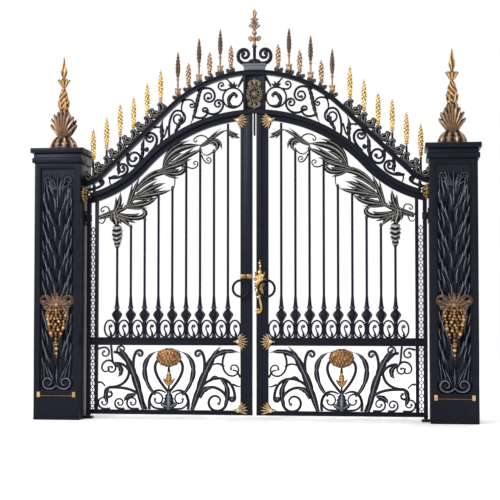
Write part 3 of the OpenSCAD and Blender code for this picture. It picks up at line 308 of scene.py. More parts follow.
def spline(points, steps=4):
    """A smooth line through all the points given."""
    p = np.array(points, float)
    p = np.vstack([2 * p[0] - p[1], p, 2 * p[-1] - p[-2]])
    t = np.linspace(0, 1, steps, endpoint=False)[:, None]
    runs = [0.5 * (2 * b + (c - a) * t + (2 * a - 5 * b + 4 * c - d) * t ** 2
                   + (3 * b - a - 3 * c + d) * t ** 3)
            for a, b, c, d in zip(p, p[1:], p[2:], p[3:])]
    return np.vstack(runs + [p[-2:-1]])


def resample(path, count):
    """The same line in another number of points."""
    fine = np.linspace(0, len(path) - 1, count)
    return np.stack([np.interp(fine, np.arange(len(path)), path[:, c]) for c in (0, 1)], 1)


straight = bez((0, 0, 10, 0, 20, 0, 30, 0))
print("a line has", len(straight), "points, and with a full curl", len(curl(straight, 9, 1, 1)))


# %% [markdown]
# ## Skins
# Every forged piece is a skin over a row of closed sections, as a smith draws iron out from hit
# to hit. A bevelled curve could make a bar, but no leaf with veins, and no relief for the
# finishes to read, so the sections are worked out as arrays. A shell gathers the points of such
# skins, their faces and their relief. A section rounded at the corners is a bar; one with a rib,
# a dome and veins is a leaf; sections round an upright axis are turned work.

# %% Shells
class Shell:
    """Points in millimetres from the gate's middle, faces, and relief from -1 to 1."""

    def __init__(self):
        self.points, self.faces, self.relief, self.count = [], [], [], 0

    def skin(self, rows, relief=0.0):
        """Joins rows of section points by quads and closes both ends."""
        n, m = rows.shape[:2]
        i, j = np.meshgrid(np.arange(n - 1), np.arange(m), indexing="ij")
        k = (j + 1) % m
        quads = np.stack([i * m + j, i * m + k, (i + 1) * m + k, (i + 1) * m + j], -1)
        self.faces += (quads.reshape(-1, 4) + self.count).tolist()
        self.faces.append(list(range(self.count + m - 1, self.count - 1, -1)))
        self.faces.append(list(range(self.count + (n - 1) * m, self.count + n * m)))
        self.points.append(rows.reshape(-1, 3))
        self.relief.append(np.broadcast_to(relief, (n, m)).reshape(-1))
        self.count += n * m

    def take(self, other, move=(0, 0, 0), turn=0.0, flip=False, back=False):
        """Adds a shell's copy: mirrored left to right or front to back, turned about Z, moved."""
        p = np.vstack(other.points) * ((-1 if flip else 1), (-1 if back else 1), 1)
        c, s = math.cos(turn), math.sin(turn)
        p = p @ np.array([[c, s, 0], [-s, c, 0], [0, 0, 1]]) + np.array(move, float)
        self.points.append(p)
        self.relief.append(np.hstack(other.relief))
        self.faces += [[v + self.count for v in f] for f in other.faces]
        self.count += len(p)


def shell_mesh(name, shell):
    mesh = bpy.data.meshes.new(name)
    mesh.from_pydata((np.vstack(shell.points) * MM).tolist(), [], shell.faces)
    relief = mesh.attributes.new("relief", "FLOAT", "POINT")
    relief.data.foreach_set("value", np.hstack(shell.relief))
    return mesh


trial = Shell()
trial.skin(np.zeros((3, 8, 3)))
print("three sections of eight points make", len(trial.faces), "faces")


# %% [markdown]
# ## Pieces
# Some castings are fixed to the posts and the overthrow, and the rest swing with a leaf. A piece
# is made from a full shell, smoothed, with its normals outwards, and is told which body carries
# it and which solids it stands for. The left side could be modelled again; it is the right side
# mirrored, because a smith bends both round one jig.

# %% Pieces
SMOOTH_BELOW = math.radians(52)


def piece(name, mesh, body, coat, slot, *stands_for):
    """Puts a mesh in the frame, with its normals outwards, on the body that carries it."""
    work = bmesh.new()
    work.from_mesh(mesh)
    bmesh.ops.recalc_face_normals(work, faces=work.faces)
    work.to_mesh(mesh)
    work.free()
    mesh.shade_smooth()
    mesh.set_sharp_from_angle(angle=SMOOTH_BELOW)
    mesh.materials.clear()
    mesh.materials.append(coat)
    made = bpy.data.objects.new(name, mesh)
    bpy.context.scene.collection.objects.link(made)
    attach(made, body)
    if stands_for:
        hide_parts(*stands_for)
    print(name, "on", body, len(mesh.polygons), "faces")
    return made


def on_frame(name, right, coat, slot, *stands_for):
    """A fixed piece on both sides of the gate."""
    both = Shell()
    both.take(right, (MIDDLE, 0, 0))
    both.take(right, (MIDDLE, 0, 0), flip=True)
    return piece(name, shell_mesh(name, both), "frame", coat, slot, *stands_for)


def on_leaves(name, right, coat, slot, node):
    """A piece on each leaf, the left one mirrored."""
    for side in ("left", "right"):
        one = Shell()
        one.take(right, (MIDDLE, 0, 0), flip=side == "left")
        made = side + "_" + name
        piece(made, shell_mesh(made, one), side + "_leaf", coat, slot, side + "_" + node)


def on_middle(name, shell, body, coat, slot, *stands_for):
    """A single piece, drawn from the gate's middle."""
    whole = Shell()
    whole.take(shell, (MIDDLE, 0, 0))
    return piece(name, shell_mesh(name, whole), body, coat, slot, *stands_for)


print("pieces are smooth below", round(math.degrees(SMOOTH_BELOW)), "degrees")


# %% [markdown]
# ## Bars, buttons and beads
# A smith's bar is square stock with its corners knocked off, drawn thinner to its end and rolled
# up there into a button. A curve with a bevel could give the bar; a skin along the line lets its
# width swell as well, and marks the corners, where paint rubs thin and a painted highlight lies.

# %% Bars, buttons and beads
def unit(v):
    """Vectors of length one."""
    return v / np.maximum(np.linalg.norm(v, axis=-1, keepdims=True), 1e-9)


def plane_frame(path, y):
    """Mid-line, side and face directions of a path in the gate's plane."""
    along = unit(np.gradient(path, axis=0))
    zero = np.zeros(len(path))
    mid = np.stack([path[:, 0], zero + y, path[:, 1]], 1)
    side = np.stack([-along[:, 1], zero, along[:, 0]], 1)
    return mid, side, np.tile([0.0, -1.0, 0.0], (len(path), 1))


def widths(w, n):
    """Width from root to tip, with a swelling between them."""
    s = np.linspace(0, 1, n)
    return w[0] + (w[1] - w[0]) * s + w[2] * np.sin(math.pi * s)


def bar(shell, path, w, thick, y=0.0, eye=True):
    """A forged bar bent in the gate's plane, which ends in a round button."""
    mid, side, face = plane_frame(path, y)
    half = widths(w, len(path))[:, None, None] / 2
    a = (np.arange(12) + 0.5) * math.pi / 6
    c, s = np.cos(a), np.sin(a)
    u, v = np.sign(c) * abs(c) ** 0.5, np.sign(s) * abs(s) ** 0.5
    across = side[:, None] * half * u[None, :, None]
    through = face[:, None] * (thick / 2) * v[None, :, None]
    shell.skin(mid[:, None] + across + through, (abs(u * v) > 0.5) * 0.3)
    if eye:
        knob(shell, mid[-1], w[1] * 1.05, thick * 0.72)


def knob(shell, at, r, deep):
    """A flattened ball, its axis from front to back."""
    a = np.linspace(0.12, math.pi - 0.12, 7)[:, None]
    b = np.arange(14)[None, :] * math.pi / 7
    x, z = r * np.sin(a) * np.cos(b), r * np.sin(a) * np.sin(b)
    rows = np.stack([x, -deep * np.cos(a) + 0 * b, z], -1)
    shell.skin(rows + np.array(at), 0.5 * abs(np.cos(a)) ** 2 + 0 * b)


def ball(shell, at, r, flat=1.0, tone=-0.15):
    """A berry or bead, flattened from front to back if asked."""
    a = np.linspace(0.15, math.pi - 0.15, 7)[:, None]
    b = np.arange(10)[None, :] * math.pi / 5
    rows = np.stack([np.sin(a) * np.cos(b), flat * np.sin(a) * np.sin(b), -np.cos(a) + 0 * b], -1)
    shell.skin(rows * r + np.array(at), 0.7 * np.sin(a) * abs(np.sin(b)) + tone)


trial = Shell()
bar(trial, straight, (12, 8, 0), 10)
print("a short trial bar with its button has", len(trial.faces), "faces")


# %% [markdown]
# ## Leaves
# Acanthus is cut from sheet, beaten over a rib and veined with a blunt chisel. It could be
# sculpted; a rule makes it here, because all leaves of the gate share it: a dome, a rib along the
# middle, and notches at the edge that run back to the rib.

# %% Leaves
ACROSS = np.array([-1, -0.84, -0.62, -0.38, -0.15, 0, 0.15, 0.38, 0.62, 0.84, 1])
BEHIND = np.array([0.7, 0.25, -0.25, -0.7])


def leaf(shell, mid, side, face, w, thick, lobes=0, both=False, highlight_share=0.0):
    """A leaf beaten over a rib: rounded lobes at the edge, parted by notches that run to the rib.
    With a highlight share, a painted highlight lies over that share of its width along the rib;
    without one, the leaf is painted lighter wherever it stands proud, partly as dry-brush wear and
    partly as painted highlight."""
    n = len(mid)
    s = np.linspace(0, 1, n)[:, None]
    edge = abs(ACROSS)[None, :]
    lobe = abs(np.cos(math.pi * (lobes * s - 0.5 * edge))) ** 0.6 if lobes else 1 + 0 * s * edge
    scallop = 1 - 0.26 * edge * (1 - lobe)
    rib = np.exp(-(edge / 0.14) ** 2)
    rise = 0.62 * (1 - edge ** 1.7) + 0.36 * rib - 0.4 * edge ** 0.5 * (1 - lobe) + 0.24
    half = (w / 2)[:, None]
    thin = np.minimum(1, half / (0.7 * thick))
    front = mid[:, None] + side[:, None] * (half * ACROSS * scallop)[..., None]
    front = front + face[:, None] * (thick * thin * (rise - 0.25))[..., None]
    if both:
        rear = rise[:, ::-1][:, 1:-1]
        reach = half * (ACROSS * scallop)[:, ::-1][:, 1:-1]
        back = mid[:, None] + side[:, None] * reach[..., None]
        back = back - face[:, None] * (thick * thin * (rear - 0.25))[..., None]
        tone = np.hstack([rise, rear])
        shine = np.hstack([edge, edge[:, 1:-1]]) + 0 * s
    else:
        back = mid[:, None] + side[:, None] * (half * BEHIND)[..., None]
        back = back - face[:, None] * (thick * thin * 0.5)[..., None]
        tone = np.hstack([rise, np.zeros((n, len(BEHIND)))])
        shine = np.hstack([edge, np.ones((1, len(BEHIND)))]) + 0 * s
    # painted highlight: a narrow bright band along the rib, or a lighter tone wherever the leaf
    # stands proud
    relief = 0.95 * np.exp(-(shine / highlight_share) ** 2) - 0.2 if highlight_share else 1.4 * (tone - 0.5)
    shell.skin(np.concatenate([front, back], 1), relief)


def flat_leaf(shell, path, w, thick, lobes=0, y=0.0, both=True, highlight_share=0.0):
    """A leaf that lies in the gate's plane, drawn out to a point at its tip."""
    mid, side, face = plane_frame(path, y)
    n = len(path)
    taper = np.minimum(1, (1 - np.linspace(0, 1, n)) / 0.22 + 0.06)
    leaf(shell, mid, side, face, widths(w, n) * taper, thick, lobes, both, highlight_share)


def blade(shell, root, angle, length, width, thick, lobes=4, y=0.0, both=False, bow=0.0,
          highlight_share=0.0):
    """A pointed leaf from a root, at an angle in degrees, bowed to one side if asked."""
    a = math.radians(angle)
    s = np.linspace(0, 1, 6 * max(lobes, 3) + 1)
    along, across = np.array([math.cos(a), math.sin(a)]), np.array([-math.sin(a), math.cos(a)])
    path = np.array(root, float) + s[:, None] * length * along
    path = path + (bow * length * s ** 2)[:, None] * across
    mid, side, face = plane_frame(path, y)
    w = width * (np.sin(math.pi * (0.1 + 0.9 * s ** 0.8)) ** 0.8 + 0.03)
    leaf(shell, mid, side, face, w, thick, lobes, both, highlight_share)


print("a leaf's section has", len(ACROSS) + len(BEHIND), "points")


# %% [markdown]
# ## Turned work
# Finials, collars and buds are cast from turned patterns, and leaves stand round them in rings.
# The Screw modifier could spin an outline; this function flutes and twists it as well, and marks
# what stands proud, so that the gilding wears there and takes a painted highlight.

# %% Turned work
def turned(shell, profile, at=(0, 0), sides=20, flutes=0, depth=0.0, twist=0.0):
    """Turned work from radius and height, fluted and twisted if asked; twist is turns per mm."""
    p = np.array(profile, float)
    around = p[:, :1] * 0 + np.arange(sides)[None, :] * 2 * math.pi / sides
    wave = np.cos(flutes * around + 2 * math.pi * twist * p[:, 1:]) * depth
    r = p[:, :1] * (1 + wave)
    x, y = at[0] + r * np.cos(around), at[1] + r * np.sin(around)
    rows = np.stack([x, y, p[:, 1:] + 0 * around], -1)
    beside = np.vstack([p[:1, :1], (p[:-2, :1] + p[2:, :1]) / 2, p[-1:, :1]])
    shell.skin(rows, np.clip((p[:, :1] - beside) / (0.12 * p[:, 0].max()), -0.5, 0.7) + 3 * wave)


def whorl(shell, at, count, line, w, thick, lobes=3, turn=0.0):
    """Leaves round an upright axis; the line gives radius and height along a leaf's middle."""
    line = spline(line)
    along = unit(np.gradient(line, axis=0))
    n = len(line)
    width = np.interp(np.linspace(0, 1, n), np.linspace(0, 1, len(w)), w)
    for k in range(count):
        a = turn + 2 * math.pi * k / count
        out = np.array([math.cos(a), math.sin(a), 0])
        round_ = np.array([-math.sin(a), math.cos(a), 0])
        up = np.array([0, 0, 1.0])
        mid = line[:, :1] * out + line[:, 1:] * up + np.array([at[0], at[1], at[2]], float)
        face = along[:, 1:] * out - along[:, :1] * up
        leaf(shell, mid, np.tile(round_, (n, 1)), face, width, thick, lobes)


trial = Shell()
whorl(trial, (0, 0, 0), 6, [(10, 0), (20, 10), (24, 30)], [10, 14, 4], 6)
print("a trial ring of six leaves has", len(trial.faces), "faces")


# %% [markdown]
# ## Strokes
# A drawing of the scrollwork is a list of strokes: a kind, the four points of its curve and the
# radius, turns and hand of the curl at its tip. Plain strokes become bars and leafy ones leaves;
# a leaf that spreads gets two side strands, which part from it as the fingers of acanthus do.
# Each stroke could be drawn by hand as a curve; a list lets the same points drive the measured
# solids, so the dressed work lies where they are.

# %% Strokes
STRANDS = ((-1, 0.86), (1, 0.66))   # the side of each strand, and how far along it runs


def draw(shell, strokes, kinds, place, thick, curl_scale=None, fits=None, highlight_share=0.0):
    """Forges a drawing's strokes; a kind has its widths, its lobes' spacing and its spread."""
    for kind, points, *tip in strokes:
        w, lobed, spread = kinds[kind]
        corners = np.array([place(x, y) for x, y in np.reshape(points, (4, 2))])
        path = bez(corners)
        if tip:
            r = tip[0] * (curl_scale(corners[3][0]) if curl_scale else 1)
            path = curl(path, r, tip[1], tip[2])
        if not lobed:
            bar(shell, path, w, thick, eye=bool(tip))
            continue
        run = np.linalg.norm(np.diff(path, axis=0), axis=1).sum()
        lobes = 0 if spread else max(3, round(run / lobed))
        path = resample(path, 8 * max(lobes, 4) + 1)
        flat_leaf(shell, path, np.array(w) * (1.1 if spread else 1.25), thick, lobes, highlight_share=highlight_share)
        for hand, far in STRANDS if spread else ():
            strand = bez(corners, 40)[:round(40 * far)]
            s = np.linspace(0, 1, len(strand))
            along = unit(np.gradient(strand, axis=0))
            beside = hand * (0.42 * widths(w, len(s)) * (1 - 0.3 * s) + spread * 0.34 * s ** 2.2)
            strand = strand + np.stack([-along[:, 1], along[:, 0]], 1) * beside[:, None]
            if fits(*strand[-1]):
                flat_leaf(shell, strand, np.array(w) * 0.5 + (2, 3, 2), thick * 0.9, highlight_share=highlight_share)


trial = Shell()
draw(trial, [("plain", (0, 0, 30, 60, 60, 60, 90, 0), 20, 1, -1)], {"plain": ((20, 13, 0), 0, 0)},
     lambda x, z: (x, z), 18)
print("a trial stroke with a curl has", trial.count, "points")


# %% [markdown]
# ### The frieze between the two rails
# Running scrolls fill the space under the upper arch, as high as that space is at each place. They
# could be drawn flat and bent with a lattice. Here the heights in the drawing are shares of the
# space, so it follows the arch down to the post and the bars keep their thickness.

# %% Drawing of the frieze
def frieze_place(x, share):
    foot, head = arch_z(LOW, x, FIXED_TOP), arch_z(UP, x, UP_UNDER)
    return x, foot + share * (head - foot)


def frieze_gap(x):
    return arch_z(UP, x, UP_UNDER) - arch_z(LOW, x, FIXED_TOP)


FRIEZE_KINDS = {
    "plain": ((20, 13.5, 0), 0, 0),
    "slim": ((16, 11, 0), 0, 0),
    "stout": ((24, 16, 0), 0, 0),
    "leafy": ((13.5, 12, 16.5), 44, 0),
    "strut": ((30, 15, 0), 0, 0),
}
FRIEZE = [
    ("leafy", (120, 0.15, 195, 0.06, 250, 0.34, 185, 0.5), 0.092, 0.6, 1),
    ("strut", (80, 0.98, 100, 0.9, 120, 0.78, 135, 0.68)),
    ("slim", (185, 0.68, 195, 0.8, 205, 0.92, 232, 0.98)),
    ("slim", (232, 0.68, 285, 0.66, 315, 0.84, 290, 0.92), 0.086, 0.7, 1),
    ("plain", (470, 0.95, 420, 1.02, 340, 0.9, 328, 0.62), 0.189, 1.35, 1),
    ("plain", (400, 0.2, 340, -0.03, 265, 0.03, 258, 0.25), 0.15, 1.2, -1),
    ("plain", (508, 0.25, 455, 0.03, 395, 0, 385, 0.2), 0.104, 0.9, -1),
    ("leafy", (420, 0.99, 485, 0.98, 462, 0.36, 538, -0.02)),
    ("slim", (605, 0.98, 570, 0.97, 512, 0.84, 495, 0.62), 0.102, 0.9, 1),
    ("plain", (705, 0, 720, 0.6, 690, 1.0, 638, 0.78), 0.293, 1.4, 1),
    ("slim", (575, 1.0, 612, 0.92, 612, 0.69, 585, 0.42)),
    ("slim", (835, 0.98, 800, 0.86, 770, 0.7, 755, 0.5), 0.104, 0.7, 1),
    ("stout", (878, 0, 815, -0.02, 785, 0.25, 832, 0.68), 0.257, 1.25, -1),
    ("stout", (1050, 1.0, 1072, 0.6, 1030, 0.16, 975, 0.06), 0.345, 1.15, -1),
    ("stout", (1215, 0.62, 1160, 0.3, 1115, 0.08, 1068, 0.12), 0.29, 1.3, -1),
    ("slim", (1140, 0.3, 1195, 0.72, 1225, 0.52, 1190, -0.02)),
    ("stout", (1402, 0.6, 1350, 0.35, 1300, 0.3, 1262, 0.45), 0.26, 0.9, -1),
    ("leafy", (1340, 0, 1330, 0.3, 1345, 0.7, 1325, 1.0)),
    ("leafy", (660, 0.02, 640, 0.18, 600, 0.3, 588, 0.44)),
    ("leafy", (782, 0.0, 742, 0.3, 800, 0.66, 752, 0.99)),
    ("leafy", (948, 0.0, 905, 0.34, 955, 0.7, 905, 0.99)),
    ("slim", (720, 0.5, 735, 0.36, 735, 0.2, 752, 0.16), 0.09, 0.8, 1),
    ("slim", (922, 0.5, 905, 0.36, 905, 0.2, 885, 0.2), 0.09, 0.8, -1),
    ("leafy", (1118, 0.99, 1152, 0.74, 1108, 0.5, 1140, 0.3)),
]
print("frieze:", len(FRIEZE), "strokes on each side")

# %% [markdown]
# ### Forging the frieze
# Beside the crown a ring stands among the scrolls, with four small leaves on its head. A torus
# could be the ring; it is one more bar, bent round, so that it has the scrolls' own section.

# %% Frieze
FRIEZE_THICK = 18
RING_X, RING_UP, RING_SHARE, RING_BAR = 178, 0.4, 0.317, 15
frieze = Shell()
draw(frieze, FRIEZE, FRIEZE_KINDS, frieze_place, FRIEZE_THICK, frieze_gap)
ring_r = RING_SHARE * frieze_gap(RING_X) - RING_BAR / 2
ring_x, ring_z = frieze_place(RING_X, RING_UP)
turn_round = np.linspace(0, 2 * math.pi, 41)
ring = np.stack([ring_x + ring_r * np.cos(turn_round), ring_z + ring_r * np.sin(turn_round)], 1)
bar(frieze, ring, (RING_BAR, RING_BAR, 0), FRIEZE_THICK, eye=False)
for a in (28, 64, 112, 152):
    blade(frieze, (ring_x, ring_z + ring_r + 4), a, 50, 20, 15, 0, both=True,
          bow=0.1 if a < 90 else -0.1)
on_frame("frieze_scrollwork", frieze, satin_black, "iron", "left_frieze_scrolls",
         "right_frieze_scrolls")


# %% [markdown]
# ### Acanthus spray under the leaf's arch
# Long tongues of acanthus spring from the hanging stile and lie over the tops of the bars. On
# the real gate they are cut from sheet, veined with a blunt chisel and fire welded to a stem. They
# could be modelled leaf by leaf; as strokes that hang from the arched rail they keep their
# distance from it, and their strands overlap into one feathered mass.

# %% Drawing of the acanthus
def spray_place(u, drop):
    x = STILE_OUT + u * FIELD / DRAWN_W
    return x, arch_z(LOW, x, LEAF_UNDER) - drop


SPRAY_KINDS = {
    "stem": ((26, 18, 8), 90, 96),
    "tongue": ((18, 10, 24), 84, 110),
    "broad": ((14, 12, 42), 90, 130),
    "twig": ((12, 7, 0), 0, 0),
    "calyx": ((36, 26, 30), 70, 88),
    "thin": ((14, 9, 14), 80, 78),
}
SPRAY = [
    ("stem", (1178, 140, 1095, 130, 995, 185, 900, 160)),
    ("tongue", (965, 150, 860, 210, 755, 330, 670, 302)),
    ("tongue", (1020, 175, 940, 260, 835, 360, 795, 350), 28, 0.5, -1),
    ("tongue", (1075, 165, 1005, 205, 950, 270, 912, 362)),
    ("calyx", (1050, 140, 1050, 190, 1032, 225, 1025, 282)),
    ("tongue", (1060, 150, 1015, 130, 1000, 80, 1000, 0)),
    ("twig", (1095, 135, 1080, 90, 1125, 45, 1160, 70), 20, 0.6, -1),
    ("twig", (1125, 140, 1125, 190, 1155, 215, 1180, 170)),
    ("stem", (940, 170, 910, 125, 885, 60, 840, 0)),
    ("tongue", (900, 130, 805, 175, 675, 310, 558, 352)),
    ("tongue", (885, 130, 805, 160, 710, 195, 615, 260)),
    ("tongue", (872, 90, 790, 40, 660, 125, 590, 205)),
    ("twig", (600, 195, 530, 240, 540, 310, 556, 352)),
    ("tongue", (690, 110, 580, 145, 500, 200, 435, 192)),
    ("tongue", (650, 140, 565, 230, 500, 275, 470, 250), 22, 0.5, -1),
    ("twig", (640, 140, 648, 60, 620, 50, 590, 85), 16, 0.6, 1),
    ("twig", (470, 195, 435, 265, 370, 305, 355, 265), 24, 0.8, -1),
    ("broad", (640, 120, 600, 5, 500, 30, 300, 125)),
    ("tongue", (580, 125, 500, 170, 405, 135, 305, 160)),
    ("thin", (340, 120, 255, 125, 210, 55, 90, 55)),
    ("tongue", (255, 125, 190, 110, 175, 175, 212, 217)),
    ("twig", (225, 205, 265, 225, 290, 235, 330, 162)),
    ("twig", (322, 200, 305, 275, 255, 310, 245, 275), 24, 0.8, -1),
    ("twig", (255, 118, 275, 55, 340, 10, 385, 40), 20, 0.6, -1),
    ("thin", (115, 55, 75, 100, 35, 135, 2, 140)),
]


def under_rail(x, z):
    """Whether a strand's tip stays between the stiles and just under the rail."""
    return STILE_OUT - 8 < x < FIELD_END - 6 and z < arch_z(LOW, x, LEAF_UNDER) + 14


print("acanthus:", len(SPRAY), "strokes on each leaf")

# %% [markdown]
# ### Acanthus and its ribbed bud
# The outermost bar ends in a bud like a tulip, with ribs that dip in the middle of its front. It
# could be sculpted; turned work with a swelling for each rib comes close, and then the skin is
# pulled down where it faces front and back.

# %% Acanthus
RIBS, BUD_R, RIB_DIP = 5, 46, 30
spray = Shell()
draw(spray, SPRAY, SPRAY_KINDS, spray_place, 20, fits=under_rail, highlight_share=0.28)
bud_x = BAR_FIRST + BAR_PITCH * (BAR_COUNT - 1)
bud_z = arch_z(LOW, bud_x, LEAF_UNDER) - BAR_DROP[-1] - BUD_TALL
bands = [(10, bud_z - 4)]
for k in range(RIBS):
    for grow, at in ((0.74, 0.04), (0.98, 0.42), (1.0, 0.66), (0.8, 0.97)):
        share = (k + at) / RIBS
        bands.append((BUD_R * grow * math.sin(math.radians(22 + 110 * share)), bud_z + 182 * share))
turned(spray, bands + [(16, bud_z + BUD_TALL)], (bud_x, 0), sides=24, flutes=8, depth=0.03)
bud_skin = spray.points[-1]
to_front = bud_skin[:, 1] ** 2 / ((bud_skin[:, 0] - bud_x) ** 2 + bud_skin[:, 1] ** 2)
climb = np.clip((bud_skin[:, 2] - bud_z) / BUD_TALL, 0, 1)
bud_skin[:, 2] -= RIB_DIP * (to_front - 0.5) * np.sin(math.pi * climb)
on_leaves("acanthus_spray", spray, brushed_and_highlit_black, "iron", "acanthus")


# %% [markdown]
# ### Scrollwork of the lower panel
# A lyre of leafy arms stands in the middle of each panel, with running scrolls on both sides.
# The scrolls on the meeting side and the hanging side differ, as they do on the gate. The whole
# panel could be one mirrored half; only the lyre is drawn once and mirrored, and the rest is
# drawn stroke by stroke.

# %% Drawing of the lower panel
def panel_place(u, v):
    return STILE_OUT + u * FIELD / DRAWN_W, PANEL_Z + v


PANEL_KINDS = {
    "trunk": ((30, 18, 28), 130, 0),
    "arm": ((23, 13, 5), 0, 0),
    "scroll": ((19, 11, 0), 0, 0),
    "leaf": ((16, 12, 22), 110, 0),
    "wire": ((18, 12, 0), 0, 0),
    "stem": ((9, 9, 18), 0, 0),
}
PAIRED = [
    ("wire", (590, 8, 560, 8, 530, 8, 490, 12), 74, 1.25, -1),
    ("arm", (585, 150, 505, 240, 440, 340, 500, 405), 24, 0.5, -1),
    ("leaf", (480, 120, 350, 250, 360, 440, 500, 478)),
    ("arm", (405, 2, 310, 220, 265, 380, 318, 470), 34, 0.9, -1),
    ("arm", (432, 4, 408, 120, 480, 200, 566, 140)),
]
PANEL = [
    ("stem", (591, 150, 591, 240, 591, 300, 591, 380)),
    ("trunk", (398, 2, 330, 230, 250, 420, 160, 525)),
    ("leaf", (262, 385, 200, 470, 120, 500, 2, 468)),
    ("arm", (345, 150, 270, 300, 50, 310, 46, 100), 26, 0.9, 1),
    ("arm", (398, 10, 390, 150, 250, 250, 140, 145), 96, 1.25, 1),
    ("scroll", (250, 235, 235, 275, 210, 290, 180, 262)),
    ("scroll", (110, 490, 165, 420, 160, 320, 95, 285), 62, 0.85, -1),
    ("scroll", (2, 268, 20, 300, 30, 335, 66, 324)),
    ("scroll", (135, 352, 170, 392, 215, 384, 256, 352)),
    ("trunk", (800, 2, 850, 200, 900, 400, 1020, 525)),
    ("scroll", (955, 400, 985, 440, 1010, 450, 1020, 472), 38, 1.1, 1),
    ("arm", (795, 40, 830, 160, 930, 185, 1085, 180), 48, 0.9, -1),
    ("arm", (920, 330, 920, 220, 1000, 180, 1090, 188)),
    ("scroll", (1075, 525, 1060, 460, 1075, 400, 1040, 362), 42, 0.95, 1),
    ("scroll", (1052, 380, 1080, 420, 1140, 400, 1150, 350), 44, 0.6, -1),
    ("scroll", (1180, 496, 1170, 500, 1150, 505, 1135, 508), 46, 0.95, 1),
    ("scroll", (1180, 218, 1165, 230, 1140, 220, 1120, 188)),
    ("scroll", (840, 8, 865, 6, 885, 6, 900, 8), 52, 1.2, 1),
    ("scroll", (960, 8, 980, 6, 995, 6, 1010, 10), 46, 1.2, 1),
    ("scroll", (1080, 8, 1110, 4, 1130, 4, 1145, 8), 52, 1.2, 1),
    ("leaf", (172, 262, 96, 224, 84, 90, 150, 6)),
    ("leaf", (330, 96, 318, 170, 268, 196, 226, 176)),
    ("scroll", (66, 212, 40, 206, 26, 190, 4, 196)),
    ("arm", (1040, 378, 984, 384, 934, 356, 922, 300)),
    ("leaf", (1042, 374, 990, 362, 962, 300, 1024, 262)),
    ("leaf", (1092, 172, 1128, 130, 1122, 76, 1090, 52)),
    ("leaf", (868, 118, 900, 124, 952, 108, 962, 62)),
    ("arm", (1050, 470, 1000, 470, 960, 440, 948, 388)),
]
for kind, points, *tip in PAIRED:
    other = [v if i % 2 else DRAWN_W - v for i, v in enumerate(points)]
    PANEL += [(kind, points, *tip), (kind, other, *(tip[:2] + [-tip[2]] if tip else []))]
print("lower panel:", len(PANEL), "strokes on each leaf")

# %% [markdown]
# ### Forging the lower panel
# At the foot of the lyre stands a leaf bud between two smaller leaves, on a turned collar. Each
# is a casting on the real gate; here they are blades, pinned to the drawing's middle.

# %% Lower panel
panel = Shell()
draw(panel, PANEL, PANEL_KINDS, panel_place, 19, highlight_share=0.2)
bud = panel_place(DRAWN_W / 2, 26)
blade(panel, bud, 90, 134, 84, 24, 5, both=True)
for side in (-1, 1):
    blade(panel, (bud[0], bud[1] - 8), 90 - side * 62, 92, 42, 18, 4, both=True)
collar = [(16, PANEL_Z), (16, PANEL_Z + 12), (11, PANEL_Z + 22), (13, PANEL_Z + 42)]
turned(panel, collar, (bud[0], 0))
on_leaves("lower_panel_scrollwork", panel, highlit_black, "iron", "lower_scrolls")


# %% [markdown]
# ## What repeats
# A smith forges what repeats to one jig, and Geometry Nodes are the jig here. A tree could be wired
# by hand in the editor; built in the script, it has named inputs for its sizes. It ends in plain
# geometry with a finish, and what it makes is kept as a plain mesh.

# %% Node trees
def tree_with(name, sockets):
    """An empty tree with named inputs; returns it and the sockets that bring them in."""
    tree = bpy.data.node_groups.new(name, "GeometryNodeTree")
    for label, kind in sockets:
        tree.interface.new_socket(label, in_out="INPUT", socket_type="NodeSocket" + kind)
    tree.interface.new_socket("Geometry", in_out="OUTPUT", socket_type="NodeSocketGeometry")
    return tree, add(tree, "NodeGroupInput").outputs


def close_tree(tree, geometry, coat):
    """Ends a tree with plain geometry and its finish."""
    real = add(tree, "GeometryNodeRealizeInstances", {"Geometry": geometry})
    coated = add(tree, "GeometryNodeSetMaterial", {"Geometry": real.outputs[0], "Material": coat})
    add(tree, "NodeGroupOutput", {"Geometry": coated.outputs[0]})


def grown(name, tree, base, **inputs):
    """Runs a node tree on a base mesh and returns the plain mesh that it makes."""
    holder = bpy.data.objects.new(name + "_holder", base)
    bpy.context.scene.collection.objects.link(holder)
    worker = holder.modifiers.new("nodes", "NODES")
    worker.node_group = tree
    for socket in tree.interface.items_tree:
        if socket.in_out == "INPUT" and socket.name in inputs:
            worker[socket.identifier] = inputs[socket.name]
    ready = holder.evaluated_get(bpy.context.evaluated_depsgraph_get())
    mesh = bpy.data.meshes.new_from_object(ready)
    mesh.name = name
    holder.modifiers.remove(worker)
    bpy.data.objects.remove(holder)
    return mesh


print("node trees in the file so far:", len(bpy.data.node_groups))


# %% [markdown]
# ### A row of one pattern
# Feet of the bars, ovals between them and tiers of palm leaves are each one pattern set out in a
# row. An Array modifier could repeat them; a tree that lays a master along a line takes its count,
# start and step as inputs, so one tree serves every row.

# %% A row of one pattern
row_tree, given = tree_with("row_of_one_pattern", [
    ("Geometry", "Geometry"), ("Master", "Object"), ("Count", "Int"), ("Start", "Vector"),
    ("Step", "Vector"), ("Coat", "Material")])
line = add(row_tree, "GeometryNodeMeshLine", {
    "Count": given["Count"], "Start Location": given["Start"], "Offset": given["Step"]})
master = add(row_tree, "GeometryNodeObjectInfo", {"Object": given["Master"]})
laid = add(row_tree, "GeometryNodeInstanceOnPoints", {
    "Points": line.outputs[0], "Instance": master.outputs["Geometry"]})
close_tree(row_tree, laid.outputs[0], given["Coat"])


def row(name, pattern, count, start, step, coat):
    """A mesh of one shell repeated along a line; start and step are in millimetres."""
    keep = bpy.data.objects.new(name + "_master", shell_mesh(name + "_master", pattern))
    bpy.context.scene.collection.objects.link(keep)
    mesh = grown(name, row_tree, bpy.data.meshes.new(name + "_base"), Master=keep, Count=count,
                 Coat=coat, Start=[v * MM for v in start], Step=[v * MM for v in step])
    bpy.data.objects.remove(keep)
    return mesh


